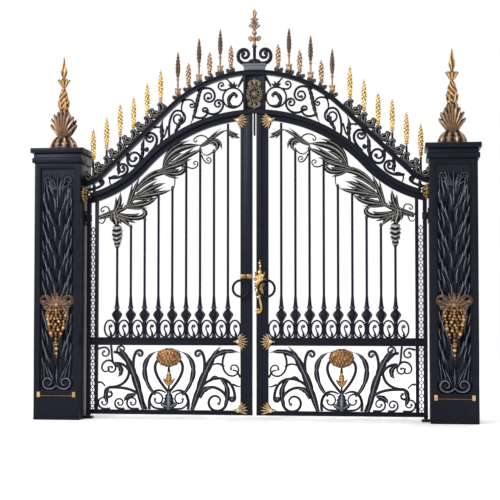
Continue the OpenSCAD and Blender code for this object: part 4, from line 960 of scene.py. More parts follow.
print("row tree:", len(row_tree.nodes), "nodes")


# %% [markdown]
# ### Joining what trees and skins make
# On the gate a row of feet and the rods above them are welded to one grille. Join in the editor
# would do it; a BMesh that reads both meshes does the same without any selection.

# %% Joining
def join_mesh(mesh, extra):
    """Moves one mesh into another."""
    work = bmesh.new()
    work.from_mesh(mesh)
    work.from_mesh(extra)
    work.to_mesh(mesh)
    work.free()
    bpy.data.meshes.remove(extra)
    return mesh


def join_shell(mesh, shell):
    """Adds a shell's skins to a mesh that a tree has made."""
    return join_mesh(mesh, shell_mesh(mesh.name + "_more", shell))


def mesh_shell(mesh):
    """A mesh's points and faces as a shell, whose relief is still to be given."""
    shell = Shell()
    shell.points, shell.count = [np.array([v.co for v in mesh.vertices]) / MM], len(mesh.vertices)
    shell.faces = [list(f.vertices) for f in mesh.polygons]
    return shell


trial = row("trial_row", trial, 3, (0, 0, 0), (50, 0, 0), satin_black)
print("three trial strokes in a row have", len(mesh_shell(trial).faces), "faces")
bpy.data.meshes.remove(trial)

# %% [markdown]
# ### Bars and the ovals between their feet
# Each upright has a turned foot: a stem, a lozenge and a cone collar. Bands bent to ovals fill
# the bays, each round a pair of curls. They could be copied by hand; one master of each is made
# at the origin, for the row tree to lay out.

# %% Foot and oval
foot = Shell()
turned(foot, [(19, 0), (19, 14), (14, 22), (12, 34), (13, 112), (17, 128), (17, 134)], sides=16)
lozenge = spline([(15, 132), (30, 158), (41, 182), (36, 200), (20, 220), (13, 230)])
cone = [(13, 228), (21, 234), (23, 242), (21, 250), (17, 262), (13, 300), (11, 335)]
turned(foot, lozenge, sides=16, flutes=8, depth=0.07)
turned(foot, cone, sides=16)
oval = Shell()
around = np.linspace(0, 2 * math.pi, 33)
band = np.stack([45.5 * np.sin(around), 71 - 68.5 * np.cos(around)], 1)
bar(oval, band, (14, 14, 0), 18, eye=False)
bar(oval, curl(bez((0, 4, 24, 30, -22, 70, -4, 96)), 14, 0.75, -1), (12, 8, 0), 16)
bar(oval, curl(np.array([(6.0, 46.0), (10.0, 36.0), (14.0, 26.0)]), 10, 0.6, -1), (9, 7, 0), 15)
print("masters: foot", foot.count, "points, oval", oval.count, "points")

# %% [markdown]
# ### Setting out the bars
# The bars are round rods of different lengths, since each stops at the leaf that lies over it, and
# most end there in a small forged bud. A row can't give different lengths, so the rods are drawn
# one by one and joined to the row of feet.

# %% Bars and ovals
ROD_R, FOOT_TALL = 10, 330

for side, sign in (("left", -1), ("right", 1)):
    rods = Shell()
    for i, drop in enumerate(BAR_DROP):
        x = BAR_FIRST + BAR_PITCH * i
        top = arch_z(LOW, x, LEAF_UNDER) - drop
        at = (MIDDLE + sign * x, 0)
        stop = top - BUD_TALL if i == BAR_COUNT - 1 else top
        turned(rods, [(ROD_R, z) for z in np.linspace(LOCK_TOP + FOOT_TALL, stop, 6)], at, sides=14)
        if 0 < i < BAR_COUNT - 1:
            small_bud = np.array([(9, -6), (14, 3), (13, 12), (7, 24), (2, 32)]) + (0, stop)
            turned(rods, small_bud, at, sides=14)
    mesh = row(side + "_bars_row", foot, BAR_COUNT, (MIDDLE + sign * BAR_FIRST, 0, LOCK_TOP),
               (sign * BAR_PITCH, 0, 0), satin_black)
    join_shell(mesh, rods)
    piece(side + "_upright_bars", mesh, side + "_leaf", satin_black, "iron", side + "_bars")
    first = MIDDLE + sign * (BAR_FIRST - BAR_PITCH / 2)
    mesh = row(side + "_ovals_row", oval, BAR_COUNT + 1, (first, 0, LOCK_TOP),
               (sign * BAR_PITCH, 0, 0), satin_black)
    piece(side + "_ovals", mesh, side + "_leaf", satin_black, "iron", side + "_bar_scrolls")

# %% [markdown]
# ### Where the spikes stand
# Six spikes stand close together on each side of the crown, and six more stand wider apart down the
# flank, on taller crockets. Each place could be measured; two rules of spacing are shorter, and the
# arch gives the heights.

# %% Where the spikes stand
NEAR, FAR = 6, 6
SPIKE_FIRST, NEAR_STEP, BETWEEN, FAR_STEP = 195, 88, 56, 113
flank = SPIKE_FIRST + NEAR_STEP * NEAR + BETWEEN
SPIKE_X = [SPIKE_FIRST + NEAR_STEP * i for i in range(NEAR)]
SPIKE_X += [flank + FAR_STEP * i for i in range(FAR)]
CROCKET = [26] * NEAR + [96] * 3 + [148] * 3
spike_foot = [arch_z(UP, x, UP_TOP) + c for x, c in zip(SPIKE_X, CROCKET)]
print("spikes:", len(SPIKE_X), "on each side, out to", SPIKE_X[-1], "mm from the middle")

# %% [markdown]
# ### A tree for beaded spikes
# The gilt spikes are cast with beads set in a spiral, like grains on a cob. Beads could be placed
# by hand; a tree grows them as a sunflower grows seeds, each a golden angle on from the last, on a
# swelling outline, so that one tree makes short and tall ones.

# %% A tree for beaded spikes
GOLDEN_ANGLE = math.radians(137.508)
cob_tree, given = tree_with("beaded_spike", [
    ("Geometry", "Geometry"), ("Beads", "Int"), ("Height", "Float"), ("Radius", "Float"),
    ("Bead", "Float"), ("Coat", "Material")])
thread = add(cob_tree, "GeometryNodeMeshLine", {"Count": given["Beads"], "Offset": (0, 0, 0.001)})
index = add(cob_tree, "GeometryNodeInputIndex").outputs[0]
share = add(cob_tree, "ShaderNodeMath", {0: index, 1: given["Beads"]},
            operation="DIVIDE").outputs[0]
swell = add(cob_tree, "ShaderNodeFloatCurve", {"Value": share})
for at, high in ((0.0, 0.62), (0.35, 1.0), (0.62, 0.94), (1.0, 0.3)):
    points = swell.mapping.curves[0].points
    if at in (0.0, 1.0):
        points[0 if at == 0.0 else -1].location = (at, high)
    else:
        points.new(at, high)
swell.mapping.update()
angle = add(cob_tree, "ShaderNodeMath", {0: index, 1: GOLDEN_ANGLE},
            operation="MULTIPLY").outputs[0]
reach = add(cob_tree, "ShaderNodeMath", {0: swell.outputs[0], 1: given["Radius"]},
            operation="MULTIPLY").outputs[0]
spots = {}
for axis, turn in (("X", "COSINE"), ("Y", "SINE")):
    wave = add(cob_tree, "ShaderNodeMath", {0: angle}, operation=turn).outputs[0]
    spots[axis] = add(cob_tree, "ShaderNodeMath", {0: wave, 1: reach},
                      operation="MULTIPLY").outputs[0]
spots["Z"] = add(cob_tree, "ShaderNodeMath", {0: share, 1: given["Height"]},
                 operation="MULTIPLY").outputs[0]
set_out = add(cob_tree, "GeometryNodeSetPosition", {
    "Geometry": thread.outputs[0],
    "Position": add(cob_tree, "ShaderNodeCombineXYZ", spots).outputs[0]})
bead = add(cob_tree, "GeometryNodeMeshUVSphere",
           {"Segments": 7, "Rings": 5, "Radius": given["Bead"]})
size = add(cob_tree, "ShaderNodeMath", {0: swell.outputs[0], 1: 0.5, 2: 0.5},
           operation="MULTIPLY_ADD").outputs[0]
studded = add(cob_tree, "GeometryNodeInstanceOnPoints", {
    "Points": set_out.outputs[0], "Instance": bead.outputs[0], "Scale": size})
close_tree(cob_tree, studded.outputs[0], given["Coat"])
print("spike tree:", len(cob_tree.nodes), "nodes")

# %% [markdown]
# ### Beaded cobs
# Gilding wears off where hands and weather reach and dirt stays between the beads; there the
# finish also paints highlight on the beads and shade between them. The wear and shade could be
# painted; here each point's distance from the spike's axis, against the girth at its height,
# says whether it stands proud.

# %% Beaded cobs
BEAD_R, COB_R, BEAD_RISE = 10.4, 15.0, 4.4
cobs = {}
for name, high in (("short", 150.0), ("tall", 215.0)):
    mesh = grown("cob_" + name, cob_tree, bpy.data.meshes.new("cob_base_" + name),
                 Beads=round(high / BEAD_RISE), Height=high * MM, Radius=COB_R * MM,
                 Bead=BEAD_R * MM, Coat=pale_gilt)
    grains = mesh_shell(mesh)
    xyz = grains.points[0]
    proud = np.hypot(xyz[:, 0], xyz[:, 1])
    girth = np.interp(xyz[:, 2], [0, high * 0.35, high * 0.62, high], [13, 20, 19, 9])
    grains.relief = [np.clip((proud - girth) / 6, -1.0, 0.7)]
    cobs[name] = grains
    bpy.data.meshes.remove(mesh)
    print(name, "cob:", grains.count, "points")

# %% [markdown]
# ### Spikes
# Tall beaded spikes on the flanks have kept their gold. Beside the crown short beaded ones stand
# between feathered ones with a vase at the foot, and both have gone to rose bronze; the feathers
# are painted darker still, as shade. Each could be its own piece; two shells, a bright and a dull
# one, keep one finish to a piece.

# %% Spikes
TALL_SPIKE, SHORT_SPIKE = 275, 205
# painted shade: the feathered blades are darkened below the other crown spikes
PAINTED_FEATHER_SHADE = 0.42                # taken off a feathered blade's relief, which darkens it
bright, dull = Shell(), Shell()
for i, (x, z) in enumerate(zip(SPIKE_X, spike_foot)):
    tall = TALL_SPIKE if i >= NEAR else SHORT_SPIKE
    if i < NEAR and i % 2:
        vase = [(13, z), (22, z + 14), (21, z + 34), (11, z + 52), (8, z + 64), (7.5, z + 118),
                (14, z + 126), (14, z + 132), (8, z + 142), (7, z + 200), (5, z + 300)]
        turned(dull, spline(vase), (x, 0), flutes=5, depth=0.08)
        for k in range(2):
            feather = Shell()
            blade(feather, (0, z + 146), 90, 212, 40, 12, 7, both=True)
            feather.relief[-1] = feather.relief[-1] - PAINTED_FEATHER_SHADE
            for turned_by in (-1, 1):
                blade(feather, (0, z + 18), 90 + 30 * turned_by, 52, 22, 9, 3, both=True)
            dull.take(feather, (x, 0, 0), turn=k * math.pi / 2)
        continue
    coat = bright if i >= NEAR else dull
    core = [(8, z), (8, z + 14), (17, z + 20), (19, z + 28), (9, z + 36), (14, z + 44),
            (16, z + tall * 0.36), (13, z + tall * 0.7), (5, z + tall * 0.9), (2.5, z + tall)]
    turned(coat, spline(core), (x, 0), sides=12)
    coat.take(cobs["tall" if i >= NEAR else "short"], (x, 0, z + 40))
on_frame("beaded_spikes", bright, pale_gilt, "gilt", "left_spikes", "right_spikes")
on_frame("crown_spikes", dull, rose_bronze, "gilt")

# %% [markdown]
# ### Crockets
# Curled iron leaves stand all along the arch and seat the spikes. They could be one pattern,
# repeated; here each is drawn for its place, because they lean with the arch and grow towards the
# posts, and so make one ragged fringe down each flank.

# %% Crockets
LEAN_SHARE = 0.8              # of the arch's own slope


def leaned(path, x, z, lean):
    """A path set up on the arch and tipped by an angle."""
    c, s = math.cos(lean), math.sin(lean)
    return np.stack([x + path[:, 0] * c - path[:, 1] * s, z + path[:, 0] * s + path[:, 1] * c], 1)


fringe = Shell()
for i, (x, top) in enumerate(zip(SPIKE_X, CROCKET)):
    z = arch_z(UP, x, UP_TOP)
    lean = math.atan2(arch_z(UP, x + 1, 0) - arch_z(UP, x - 1, 0), 2) * LEAN_SHARE
    seat = [(13, z - 8), (10, z + 6), (9, z + top - 6), (12, z + top), (9, z + top + 2)]
    turned(fringe, seat, (x, 0), sides=12)
    large = i >= NEAR
    k = 1.05 if large else 0.62
    for side in (-1, 1):
        for tall, out, r in ((84, 52, 14), (46, 62, 11)) if large else ((56, 46, 13),):
            sweep = bez((0, -6, side * out * 0.5 * k, 0, side * out * 1.25 * k, tall * 0.35 * k,
                         side * out * k, tall * 0.8 * k))
            path = curl(sweep, r * k, 0.7, side)
            path = leaned(resample(path, 36), x, z, lean)
            flat_leaf(fringe, path, np.array((16, 14, 16)) * k, 15, 5, highlight_share=0.24)
        for a, long in ((30, 74), (62, 60)):
            far, away = long * k, math.radians(a)
            root = np.array([0, 4 * k])
            tip = np.array([side * far * math.sin(away), 4 * k + far * math.cos(away)])
            path = leaned(np.linspace(root, tip, 20), x, z, lean)
            flat_leaf(fringe, path, np.array((12, 8, 22)) * k, 13, 3, highlight_share=0.24)
on_frame("crocket_fringe", fringe, brushed_and_highlit_black, "iron", "left_crockets", "right_crockets")

# %% [markdown]
# ### Post finials
# Cast and gilded: a domed foot of leaves, two palmettes back to back, a twisted flame bud, a cup
# of leaves and a flame at the tip. A palmette's fronds could be carved from one block; here each
# is a leaf that climbs the bell and leans out from the middle, so that its tip curls free as a
# cast one does.

# %% Fronds
FROND_ROOT, FROND_TALL, FROND_DROP, FROND_TURN = 94, 226, 6.6, 20.5
BELL_GIRTH = spline([(50, 92), (66, 128), (80, 170), (86, 210), (86, 250), (79, 285), (60, 322)])


def frond(shell, at, turn, k):
    """One frond of a palmette: k counts from the middle one, which stands highest."""
    t = np.linspace(0, 1, 17)
    high = FROND_ROOT + (FROND_TALL - FROND_DROP * k ** 2) * t
    around = turn + math.radians(FROND_TURN * k) * t ** 0.75
    reach = np.interp(high, BELL_GIRTH[:, 1], BELL_GIRTH[:, 0]) + 20 * t ** 6
    out = np.stack([np.cos(around), np.sin(around), 0 * t], 1)
    mid = out * reach[:, None] + np.stack([0 * t, 0 * t, high], 1) + np.array(at)
    along = unit(np.gradient(mid, axis=0))
    face = unit(out - along * (out * along).sum(1)[:, None])
    w = np.interp(t, [0, 0.3, 0.8, 1], [14, 27, 33, 12])
    leaf(shell, mid, np.cross(along, face), face, w, 17)


print("a middle frond ends", FROND_ROOT + FROND_TALL, "mm above the cap")

# %% [markdown]
# ### Turning the finials
# The bell and the flames above it are two pieces, because the bell has gone dark and the flames
# have kept some gold. Each is turned work from a drawn outline, dressed with rings of leaves. A
# flame's twist could be a Simple Deform modifier; the turning function has it built in.

# %% Post finials
SEAT = 0.4                    # keeps a casting clear of the face it stands on
z0 = CAP_TOP + SEAT
at = (POST_X, 0, z0)
bell, flame = Shell(), Shell()
bell_body = [(112, 0), (112, 12), (92, 30), (62, 70), (46, 98), (58, 132), (70, 170),
             (76, 210), (75, 250), (64, 290), (40, 324), (24, 340)]
turned(bell, spline(bell_body) + (0, z0), at, sides=32, flutes=8, depth=0.03)
whorl(bell, at, 10, [(98, 6), (104, 22), (100, 44), (88, 68), (68, 90), (50, 104)],
      [46, 64, 64, 56, 42, 20], 15)
for turn in (-math.pi / 2, math.pi / 2):
    for k in (4, -4, 3, -3, 2, -2, 1, -1, 0):
        frond(bell, at, turn, k)
whorl(bell, at, 6, [(38, 240), (44, 280), (42, 312), (34, 334), (40, 344)], [26, 42, 40, 28, 6], 12,
      5, 0.2)
twisted = spline([(24, 334), (33, 352), (38, 392), (38, 428), (31, 470), (18, 506), (11, 526)])
turned(flame, twisted + (0, z0), at, sides=40, flutes=5, depth=0.2, twist=0.02)
whorl(flame, at, 6, [(30, 344), (40, 368), (42, 396), (50, 412)], [18, 30, 24, 5], 9, 3)
cup = spline([(11, 522), (17, 532), (26, 556), (22, 590), (13, 606), (12, 614)])
turned(flame, cup + (0, z0), at)
whorl(flame, at, 8, [(18, 534), (28, 552), (40, 574), (48, 586), (54, 584)], [20, 30, 32, 22, 5], 8,
      3)
tip_flame = spline([(12, 612), (20, 636), (25, 660), (21, 690), (13, 722), (8, 750), (3, 778)])
turned(flame, tip_flame + (0, z0), at, sides=24, flutes=4, depth=0.2, twist=0.005)
on_frame("finial_bells", bell, dark_bronze, "gilt", "left_post_finial", "right_post_finial")
on_frame("finial_flames", flame, bronze_gilt, "gilt")

# %% [markdown]
# ### Relief of the posts
# Each sunk panel is filled with palm leaves that sway like flames on their way up, in tiers. The
# panel could be sculpted as a whole; two tiers that differ are modelled, each with its sides
# unlike, and the row tree stacks them in turn, so that no two neighbours look copied.

# %% Tiers of palm leaves
PANEL_FOOT, PANEL_LEN, SUNK = 235.0, 1806.0, POST_W / 2 - 24
FLAME_STEPS = 15


def flame_leaf(shell, x, z, lean, long, wide, deep, sway, side):
    """A leaf that sways on its way up; its tip stands proud of the next tier's roots."""
    s = np.linspace(0, 1, FLAME_STEPS)
    out = x + long * (math.sin(math.radians(lean)) * s + sway * np.sin(2 * math.pi * s))
    up = z + long * s * math.cos(math.radians(lean))
    mid, across, face = plane_frame(np.stack([side * out, up], 1), 0.0)
    mid[:, 1] -= 15 * s ** 2
    w = wide * (np.sin(math.pi * (0.12 + 0.88 * s ** 0.75)) ** 0.8 + 0.03)
    leaf(shell, mid, across, face, w, deep, highlight_share=0.3)
    # painted highlight: the rib's highlight grows from nothing at the root to brightest at the tip
    tone = shell.relief[-1].reshape(FLAME_STEPS, -1) + 0.2
    shell.relief[-1] = (tone * (1.5 * s ** 1.3)[:, None] - 0.2).reshape(-1)


FLAMES = (((2, 0, 8, 240, 58, 20, 0.03), (34, -30, 17, 216, 56, 19, -0.03),
           (66, -4, 13, 180, 50, 18, 0.035), (94, -56, 9, 160, 44, 17, -0.025)),
          ((16, 22, 13, 224, 56, 20, -0.035), (50, -18, 13, 216, 54, 19, 0.03),
           (82, -42, 12, 176, 48, 18, -0.03), (108, -20, 3, 130, 34, 16, 0.02)))
tiers = [Shell(), Shell()]
for k, tier in enumerate(tiers):
    for side, leaves in ((-1, FLAMES[k]), (1, FLAMES[1 - k])):
        for one in leaves:
            flame_leaf(tier, *one, side)
print("tiers:", [tier.count for tier in tiers], "points")

# %% [markdown]
# ### Foot and head of the relief
# A pair of scrolls closes each panel at the foot and at the head, where a fan of seven blades
# opens like a shell. They are drawn once about the panel's middle and joined to the tiers, as they
# would be in the carved pattern for the casting.

# %% Foot and head
FAN = (60, -60, 40, -40, 20, -20, 0)
END_LEAVES = ((36, 1590, 10, 190, 40), (72, 1540, 8, 200, 44), (104, 1500, 3, 190, 40),
              (112, 1640, -6, 130, 26), (24, 76, 24, 150, 48), (66, 108, 16, 140, 46),
              (100, 100, 6, 130, 38))
ends = Shell()
for side in (-1, 1):
    foot_line = bez((side * 2, 44, side * 20, 14, side * 48, 10, side * 76, 14))
    flat_leaf(ends, curl(foot_line, 50, 1.2, side), (40, 28, 14), 26, 0, both=False, highlight_share=0.26)
    head_line = bez((side * 22, 1630, side * 30, 1690, side * 60, 1740, side * 92, 1736))
    flat_leaf(ends, curl(head_line, 30, 0.9, -side), (18, 14, 6), 22, 0, both=False, highlight_share=0.24)
    for x, z, a, long, w in END_LEAVES:
        blade(ends, (side * x, z), 90 - side * a, long, w, 20, 0, highlight_share=0.17)
for a in FAN:
    blade(ends, (a * 0.25, 1628), 90 - a, 134 - 0.4 * abs(a), 46, 26, 0, highlight_share=0.3)
    # dims the fan blades' painted highlight
    ends.relief[-1] = 0.8 * ends.relief[-1] - 0.1
blade(ends, (0, 1480), 90, 190, 56, 20, 0, highlight_share=0.17)
blade(ends, (0, 60), 90, 150, 52, 22, 0, highlight_share=0.17)
print("foot and head:", ends.count, "points")

# %% [markdown]
# ### Setting the relief in the posts
# The relief lies in the sunk panel at the front and again at the back, over a thin dark sheet. The
# back could be made by the same rows once more; the front's points, turned half round, do it.

# %% Post relief
TIERS, TIER_FIRST, TIER_STEP = 6, 170, 236
SHEET_HALF = 139
for side, sign in (("left", -1), ("right", 1)):
    x = MIDDLE + sign * POST_X
    start = (x, -SUNK, PANEL_FOOT + TIER_FIRST)
    between = (x, -SUNK, PANEL_FOOT + TIER_FIRST + TIER_STEP / 2)
    front = row(side + "_relief_row", tiers[0], TIERS, start, (0, 0, TIER_STEP), highlit_black)
    other = row(side + "_relief_between", tiers[1], TIERS, between, (0, 0, TIER_STEP), highlit_black)
    join_mesh(front, other)
    more = Shell()
    more.take(ends, (x, -SUNK, PANEL_FOOT))
    join_shell(front, more)
    back = mesh_shell(front)
    back.points = [back.points[0] * (-1, -1, 1) + (2 * x, 0, 0)]
    back.relief = [np.array([v.value for v in front.attributes["relief"].data])]
    sheet = Shell()
    high = PANEL_LEN - 1
    edge = np.array([(-SHEET_HALF, 0), (SHEET_HALF, 0), (SHEET_HALF, high), (-SHEET_HALF, high)])
    for y in (-1, 1):
        rows = [np.stack([x + edge[:, 0], np.full(4, y * (SUNK + d)),
                          PANEL_FOOT + 0.5 + edge[:, 1]], 1)
                for d in (-1.6, 1.2)]
        sheet.skin(np.array(rows), -0.4)
    join_shell(front, back)
    join_shell(front, sheet)
    piece(side + "_palm_relief", front, "frame", highlit_black, "iron", side + "_post_relief")

# %% [markdown]
# ### Pendants on the posts
# A bow of leaves and ribbon loops holds a bunch of berries with a string of beads below, cast in
# bronze and gilded. The bow could be bent from a ribbon mesh; blades and bars with curls do as
# well, since its leaves droop over the berries and hide where they join.

# %% Bows of leaves
HANG = 780.0                  # middle of a pendant, above the ground
leafage = Shell()
BOW = ((-80, 142), (-55, 128), (-30, 118), (-8, 112), (8, 112), (30, 118), (55, 128), (80, 142))
LOOPS = (((6, 150, 60, 250, 150, 230, 128, 168), 20), ((4, 146, 50, 200, 112, 176, 98, 128), 16),
         ((4, 138, 40, 150, 84, 120, 84, 76), 14))
for a, long in BOW:
    bow = -0.12 if a > 0 else 0.12
    blade(leafage, (0, HANG + 138), 90 + a, long, 50, 22, 5, y=-SUNK - 10, bow=bow)
for side in (-1, 1):
    for points, r in LOOPS:
        loop = bez([v * side if i % 2 == 0 else v + HANG for i, v in enumerate(points)])
        bar(leafage, curl(loop, r, 0.8, -side), (17, 10, 6), 20, y=-SUNK - 16)
knob(leafage, (0, -SUNK - 24, HANG + 146), 24, 14)
for side in (-1, 1):
    for x, a, long, w in ((16, 14, 104, 44), (44, 34, 118, 46), (70, 12, 150, 34)):
        root = (side * x, HANG + 140)
        blade(leafage, root, 270 + side * a, long, w, 18, 4, y=-SUNK - 34 + x / 3, bow=-0.1 * side)
print("bow:", leafage.count, "points")

# %% [markdown]
# ### Berries
# The berries hang in a bunch that narrows downwards, and they have aged unevenly: gold on one,
# brown on the next. They could be scattered over a body; rows with a little chance in place and
# size look more like a carved bunch. A fixed seed gives the same bunch each run.

# %% Berries
BERRY_ROWS, BERRY_STEP, BERRY_GAP = 12, 23.5, 14.5
pendant = Shell()
chance, age = np.random.default_rng(7), np.random.default_rng(11)
for k in range(BERRY_ROWS):
    half_row = np.interp(k / (BERRY_ROWS - 1), [0, 0.2, 0.5, 0.8, 1], [46, 70, 60, 34, 6])
    count = max(1, round(half_row / BERRY_GAP) + k % 2)
    for i in range(count):
        x = (i - (count - 1) / 2) * 2 * half_row / max(count - 1, 1) + chance.uniform(-4, 4)
        y = -SUNK - 10 - 24 * (1 - (x / 92) ** 2) - chance.uniform(0, 9)
        z = HANG + 108 - BERRY_STEP * k + chance.uniform(-4, 4)
        ball(pendant, (x, y, z), chance.uniform(12.5, 18), 0.9, age.uniform(-0.95, -0.15))
# painted shade: the flattened body behind the berries is darkest, so the gaps between them read as
# shade
for z, r in ((64, 62), (0, 56), (-64, 38)):
    ball(pendant, (0, -SUNK - 4, HANG + z), r, 0.36, -1.2)
for k in range(3):
    ball(pendant, (0, -SUNK - 20, HANG - 166 - 40 * k), 21 - 4 * k, 0.9, -0.3)
string = np.array([(0, HANG - 100), (0, HANG - 180), (0, HANG - 282)])
bar(pendant, string, (10, 5, 0), 10, y=-SUNK - 14, eye=False)
print("bunch:", pendant.count, "points")

# %% [markdown]
# ### Corner blocks and bead
# Under each panel a thin gilt bead runs between two small corner blocks. Cubes with a bevel could
# be the blocks; a skin over three squares, the last one smaller, is a block with its chamfer.

# %% Pendants
BLOCK_X, BLOCK_FOOT, BLOCK_HALF, BEAD_FOOT = 146, 183, 21, 189
block = np.array([(-13, 0), (13, 0), (13, 42), (-13, 42)])
bead_line = np.array([(-132, 3), (132, 3), (132, 8), (-132, 8)])
for side in (-1, 1):
    rows = [np.stack([side * BLOCK_X + block[:, 0] * g, np.full(4, -POST_W / 2 - d),
                      BLOCK_FOOT + BLOCK_HALF + (block[:, 1] - BLOCK_HALF) * g], 1)
            for d, g in ((0.2, 1), (6, 1), (9.4, 0.72))]
    pendant.skin(np.array(rows), 0.4)
rows = [np.stack([bead_line[:, 0], np.full(4, -POST_W / 2 - d), BEAD_FOOT + bead_line[:, 1]], 1)
        for d in (0.2, 5.4)]
pendant.skin(np.array(rows), -0.1)
for made, source, coat, nodes_out in (
        ("post_pendants", pendant, bronze_gilt, ("left_post_cartouche", "right_post_cartouche")),
        ("pendant_leaves", leafage, dark_bronze, ())):
    right = Shell()
    right.take(source, (POST_X, 0, 0))
    right.take(source, (POST_X, 0, 0), turn=math.pi)
    on_frame(made, right, coat, "gilt", *nodes_out)

# %% [markdown]
# ### Crown
# Two heavy volutes stand on a grey block over the middle of the arch and carry the gilt finial.
# They could be cut from plate; on the gate they are bars as thick as they are wide, rolled up at
# the ends, so they are drawn as bars.

# %% Crown volutes
BLOCK_Z = arch_z(UP, 0, UP_TOP) + 50
lyre = Shell()
for side in (-1, 1):
    path = curl(bez((side * 6, 30, side * 66, -26, side * 150, 10, side * 132, 84)), 50, 1.1, side)
    bar(lyre, path + (0, BLOCK_Z + 2), (32, 18, 2), 34)
    small = curl(bez((side * 4, 22, side * 14, 30, side * 24, 34, side * 34, 30)), 17, 0.8, -side)
    bar(lyre, small + (0, BLOCK_Z), (18, 14, 0), 30)
    blade(lyre, (side * 96, BLOCK_Z + 12), 90 - side * 66, 54, 26, 16, 3, both=True)
pillar = np.array([(18, 0), (18, 20), (13, 40), (13, 130), (18, 138), (18, 150)]) + (0, BLOCK_Z)
turned(lyre, pillar)
on_middle("crown_volutes", lyre, "frame", satin_black, "iron", "crown_scrolls")

# %% [markdown]
# ### Centre finial
# A slim casting of knops and leaf cups ends the crown, with four pairs of small curls below. Its
# leaves could be modelled one by one; rings of one leaf round a turned stem keep it regular, as
# a casting from a turned pattern is.

# %% Centre finial
top = BLOCK_Z + 150.8
crest = Shell()
stem = [(20, 0), (14, 12), (11, 30), (11, 86), (20, 98), (22, 112), (11, 130), (12, 140),
        (24, 154), (20, 176), (9, 198), (10, 206), (18, 218), (10, 240), (12, 258), (8, 280),
        (3, 302)]
turned(crest, spline(stem) + (0, top))
whorl(crest, (0, 0, top), 8, [(12, 138), (22, 148), (36, 160), (43, 170), (42, 162)],
      [12, 20, 24, 16, 4], 7, 2)
whorl(crest, (0, 0, top), 8, [(10, 172), (18, 182), (28, 192), (34, 190)], [10, 16, 16, 4], 6, 2,
      math.pi / 8)
whorl(crest, (0, 0, top), 6, [(9, 200), (18, 210), (29, 222), (31, 214)], [10, 16, 16, 4], 6, 2)
whorl(crest, (0, 0, top), 5, [(8, 242), (13, 256), (15, 272), (7, 290)], [8, 12, 10, 3], 5, 0)
arms = Shell()
for side in (-1, 1):
    upper = curl(bez((side * 4, 28, side * 8, 50, side * 18, 66, side * 30, 74)), 15, 0.8, -side)
    lower = curl(bez((side * 4, 58, side * 16, 44, side * 28, 38, side * 36, 42)), 11, 0.7, side)
    bar(arms, upper + (0, top), (13, 9, 4), 13)
    bar(arms, lower + (0, top), (10, 7, 0), 11)
crest.take(arms)
crest.take(arms, turn=math.pi / 2)
on_middle("crown_finial_cast", crest, "frame", rose_bronze, "gilt", "crown_finial")

# %% [markdown]
# ### Wreath
# The sheet below the crown has a wreath cast in bronze: a ring of leaves round a flower, between
# curls. A node tree could set the leaves round the ring; there are so few that a plain loop over
# the angles is easier to follow.

# %% Wreath
PETALS, WREATH_LEAVES = 8, 16
WREATH_Z = (arch_z(LOW, 0, FIXED_TOP) + arch_z(UP, 0, UP_UNDER)) / 2 - 14
wreath = Shell()
for k in range(WREATH_LEAVES):
    a = 2 * math.pi * k / WREATH_LEAVES
    root = (53 * math.cos(a), WREATH_Z + 53 * math.sin(a))
    blade(wreath, root, math.degrees(a) + 62, 40, 24, 12, 3, y=-8)
for k in range(PETALS):
    a = 2 * math.pi * k / PETALS
    blade(wreath, (9 * math.cos(a), WREATH_Z + 9 * math.sin(a)), 45 * k, 32, 20, 12, 3, y=-10)
knob(wreath, (0, -12, WREATH_Z), 14, 12)
around = np.linspace(0, 2 * math.pi, 41)
hoop = np.stack([46 * np.cos(around), WREATH_Z + 46 * np.sin(around)], 1)
bar(wreath, hoop, (9, 9, 0), 12, y=-8, eye=False)
for side in (-1, 1):
    for up in (-1, 1):
        spray_off = bez((0, up * 112, side * 14, up * 110, side * 36, up * 104, side * 46, up * 88))
        bar(wreath, curl(spray_off, 14, 0.8, -side * up) + (0, WREATH_Z), (13, 8, 5), 11, y=-8)
for up in (-1, 1):
    blade(wreath, (0, WREATH_Z + up * 70), 90 * up, 66, 38, 13, 4, y=-7)
wreath.take(wreath, turn=math.pi)
on_middle("crown_wreath", wreath, "frame", old_bronze, "gilt", "crown_medallion")

# %% [markdown]
# ### Scallops
# A gilt scallop hangs in the lyre of each lower panel, woven like a basket, with a tulip drop
# below. It could be a grid with a displacement texture; an oval dome with a wave in its own points
# has the weave in its mesh, so it shows in any light.

# %% Scallops
SCALLOP_HALF = (101, 76)
scallop = Shell()
sx, sz = 704.5, LOCK_Z - 100
a = np.linspace(0, 2 * math.pi, 72, endpoint=False)[None, :]
grow = np.array([1, 1, 0.97, 0.9, 0.78, 0.62, 0.45, 0.27, 0.1])[:, None]
dome = np.array([0, 8, 15, 22, 28, 32, 35, 36.5, 37])[:, None]
u, v = SCALLOP_HALF[0] * grow * np.cos(a), SCALLOP_HALF[1] * grow * np.sin(a)
weave = np.cos(u * 2 * math.pi / 26) * np.cos(v * 2 * math.pi / 60 + u * 0.02)
rim = 1 + 0.03 * np.cos(14 * a)
rows = np.stack([sx + u * rim, -8.6 - dome - 3 * weave * (dome > 0), sz + v * rim], -1)
scallop.skin(rows, 0.5 * weave - 0.1)
lip = np.stack([sx + 90 * np.cos(a[0]), sz + 40 + 20 * np.sin(a[0])], 1)[2:35]
bar(scallop, lip, (9, 9, 0), 12, y=-30, eye=False)
blade(scallop, (sx, sz - 130), 270, 92, 46, 16, 4, y=-13)
for lean in (-34, 34):
    blade(scallop, (sx, sz - 226), 90 + lean, 74, 30, 14, 3, y=-13, bow=0.004 * lean)
ball(scallop, (sx, -15, sz - 128), 13, 0.8)
scallop.take(scallop, back=True)
on_leaves("scallop", scallop, bronze_gilt, "gilt", "shell")

# %% [markdown]
# ### Clasps
# Where a rail meets the meeting stile, a gilt palmette covers the joint: a boss on the rail and
# narrow leaves that fan out over the stile. It could be one flat shape, cut out; single blades
# with ribs catch the light as a casting does. The left leaf has a strap across from the lock.

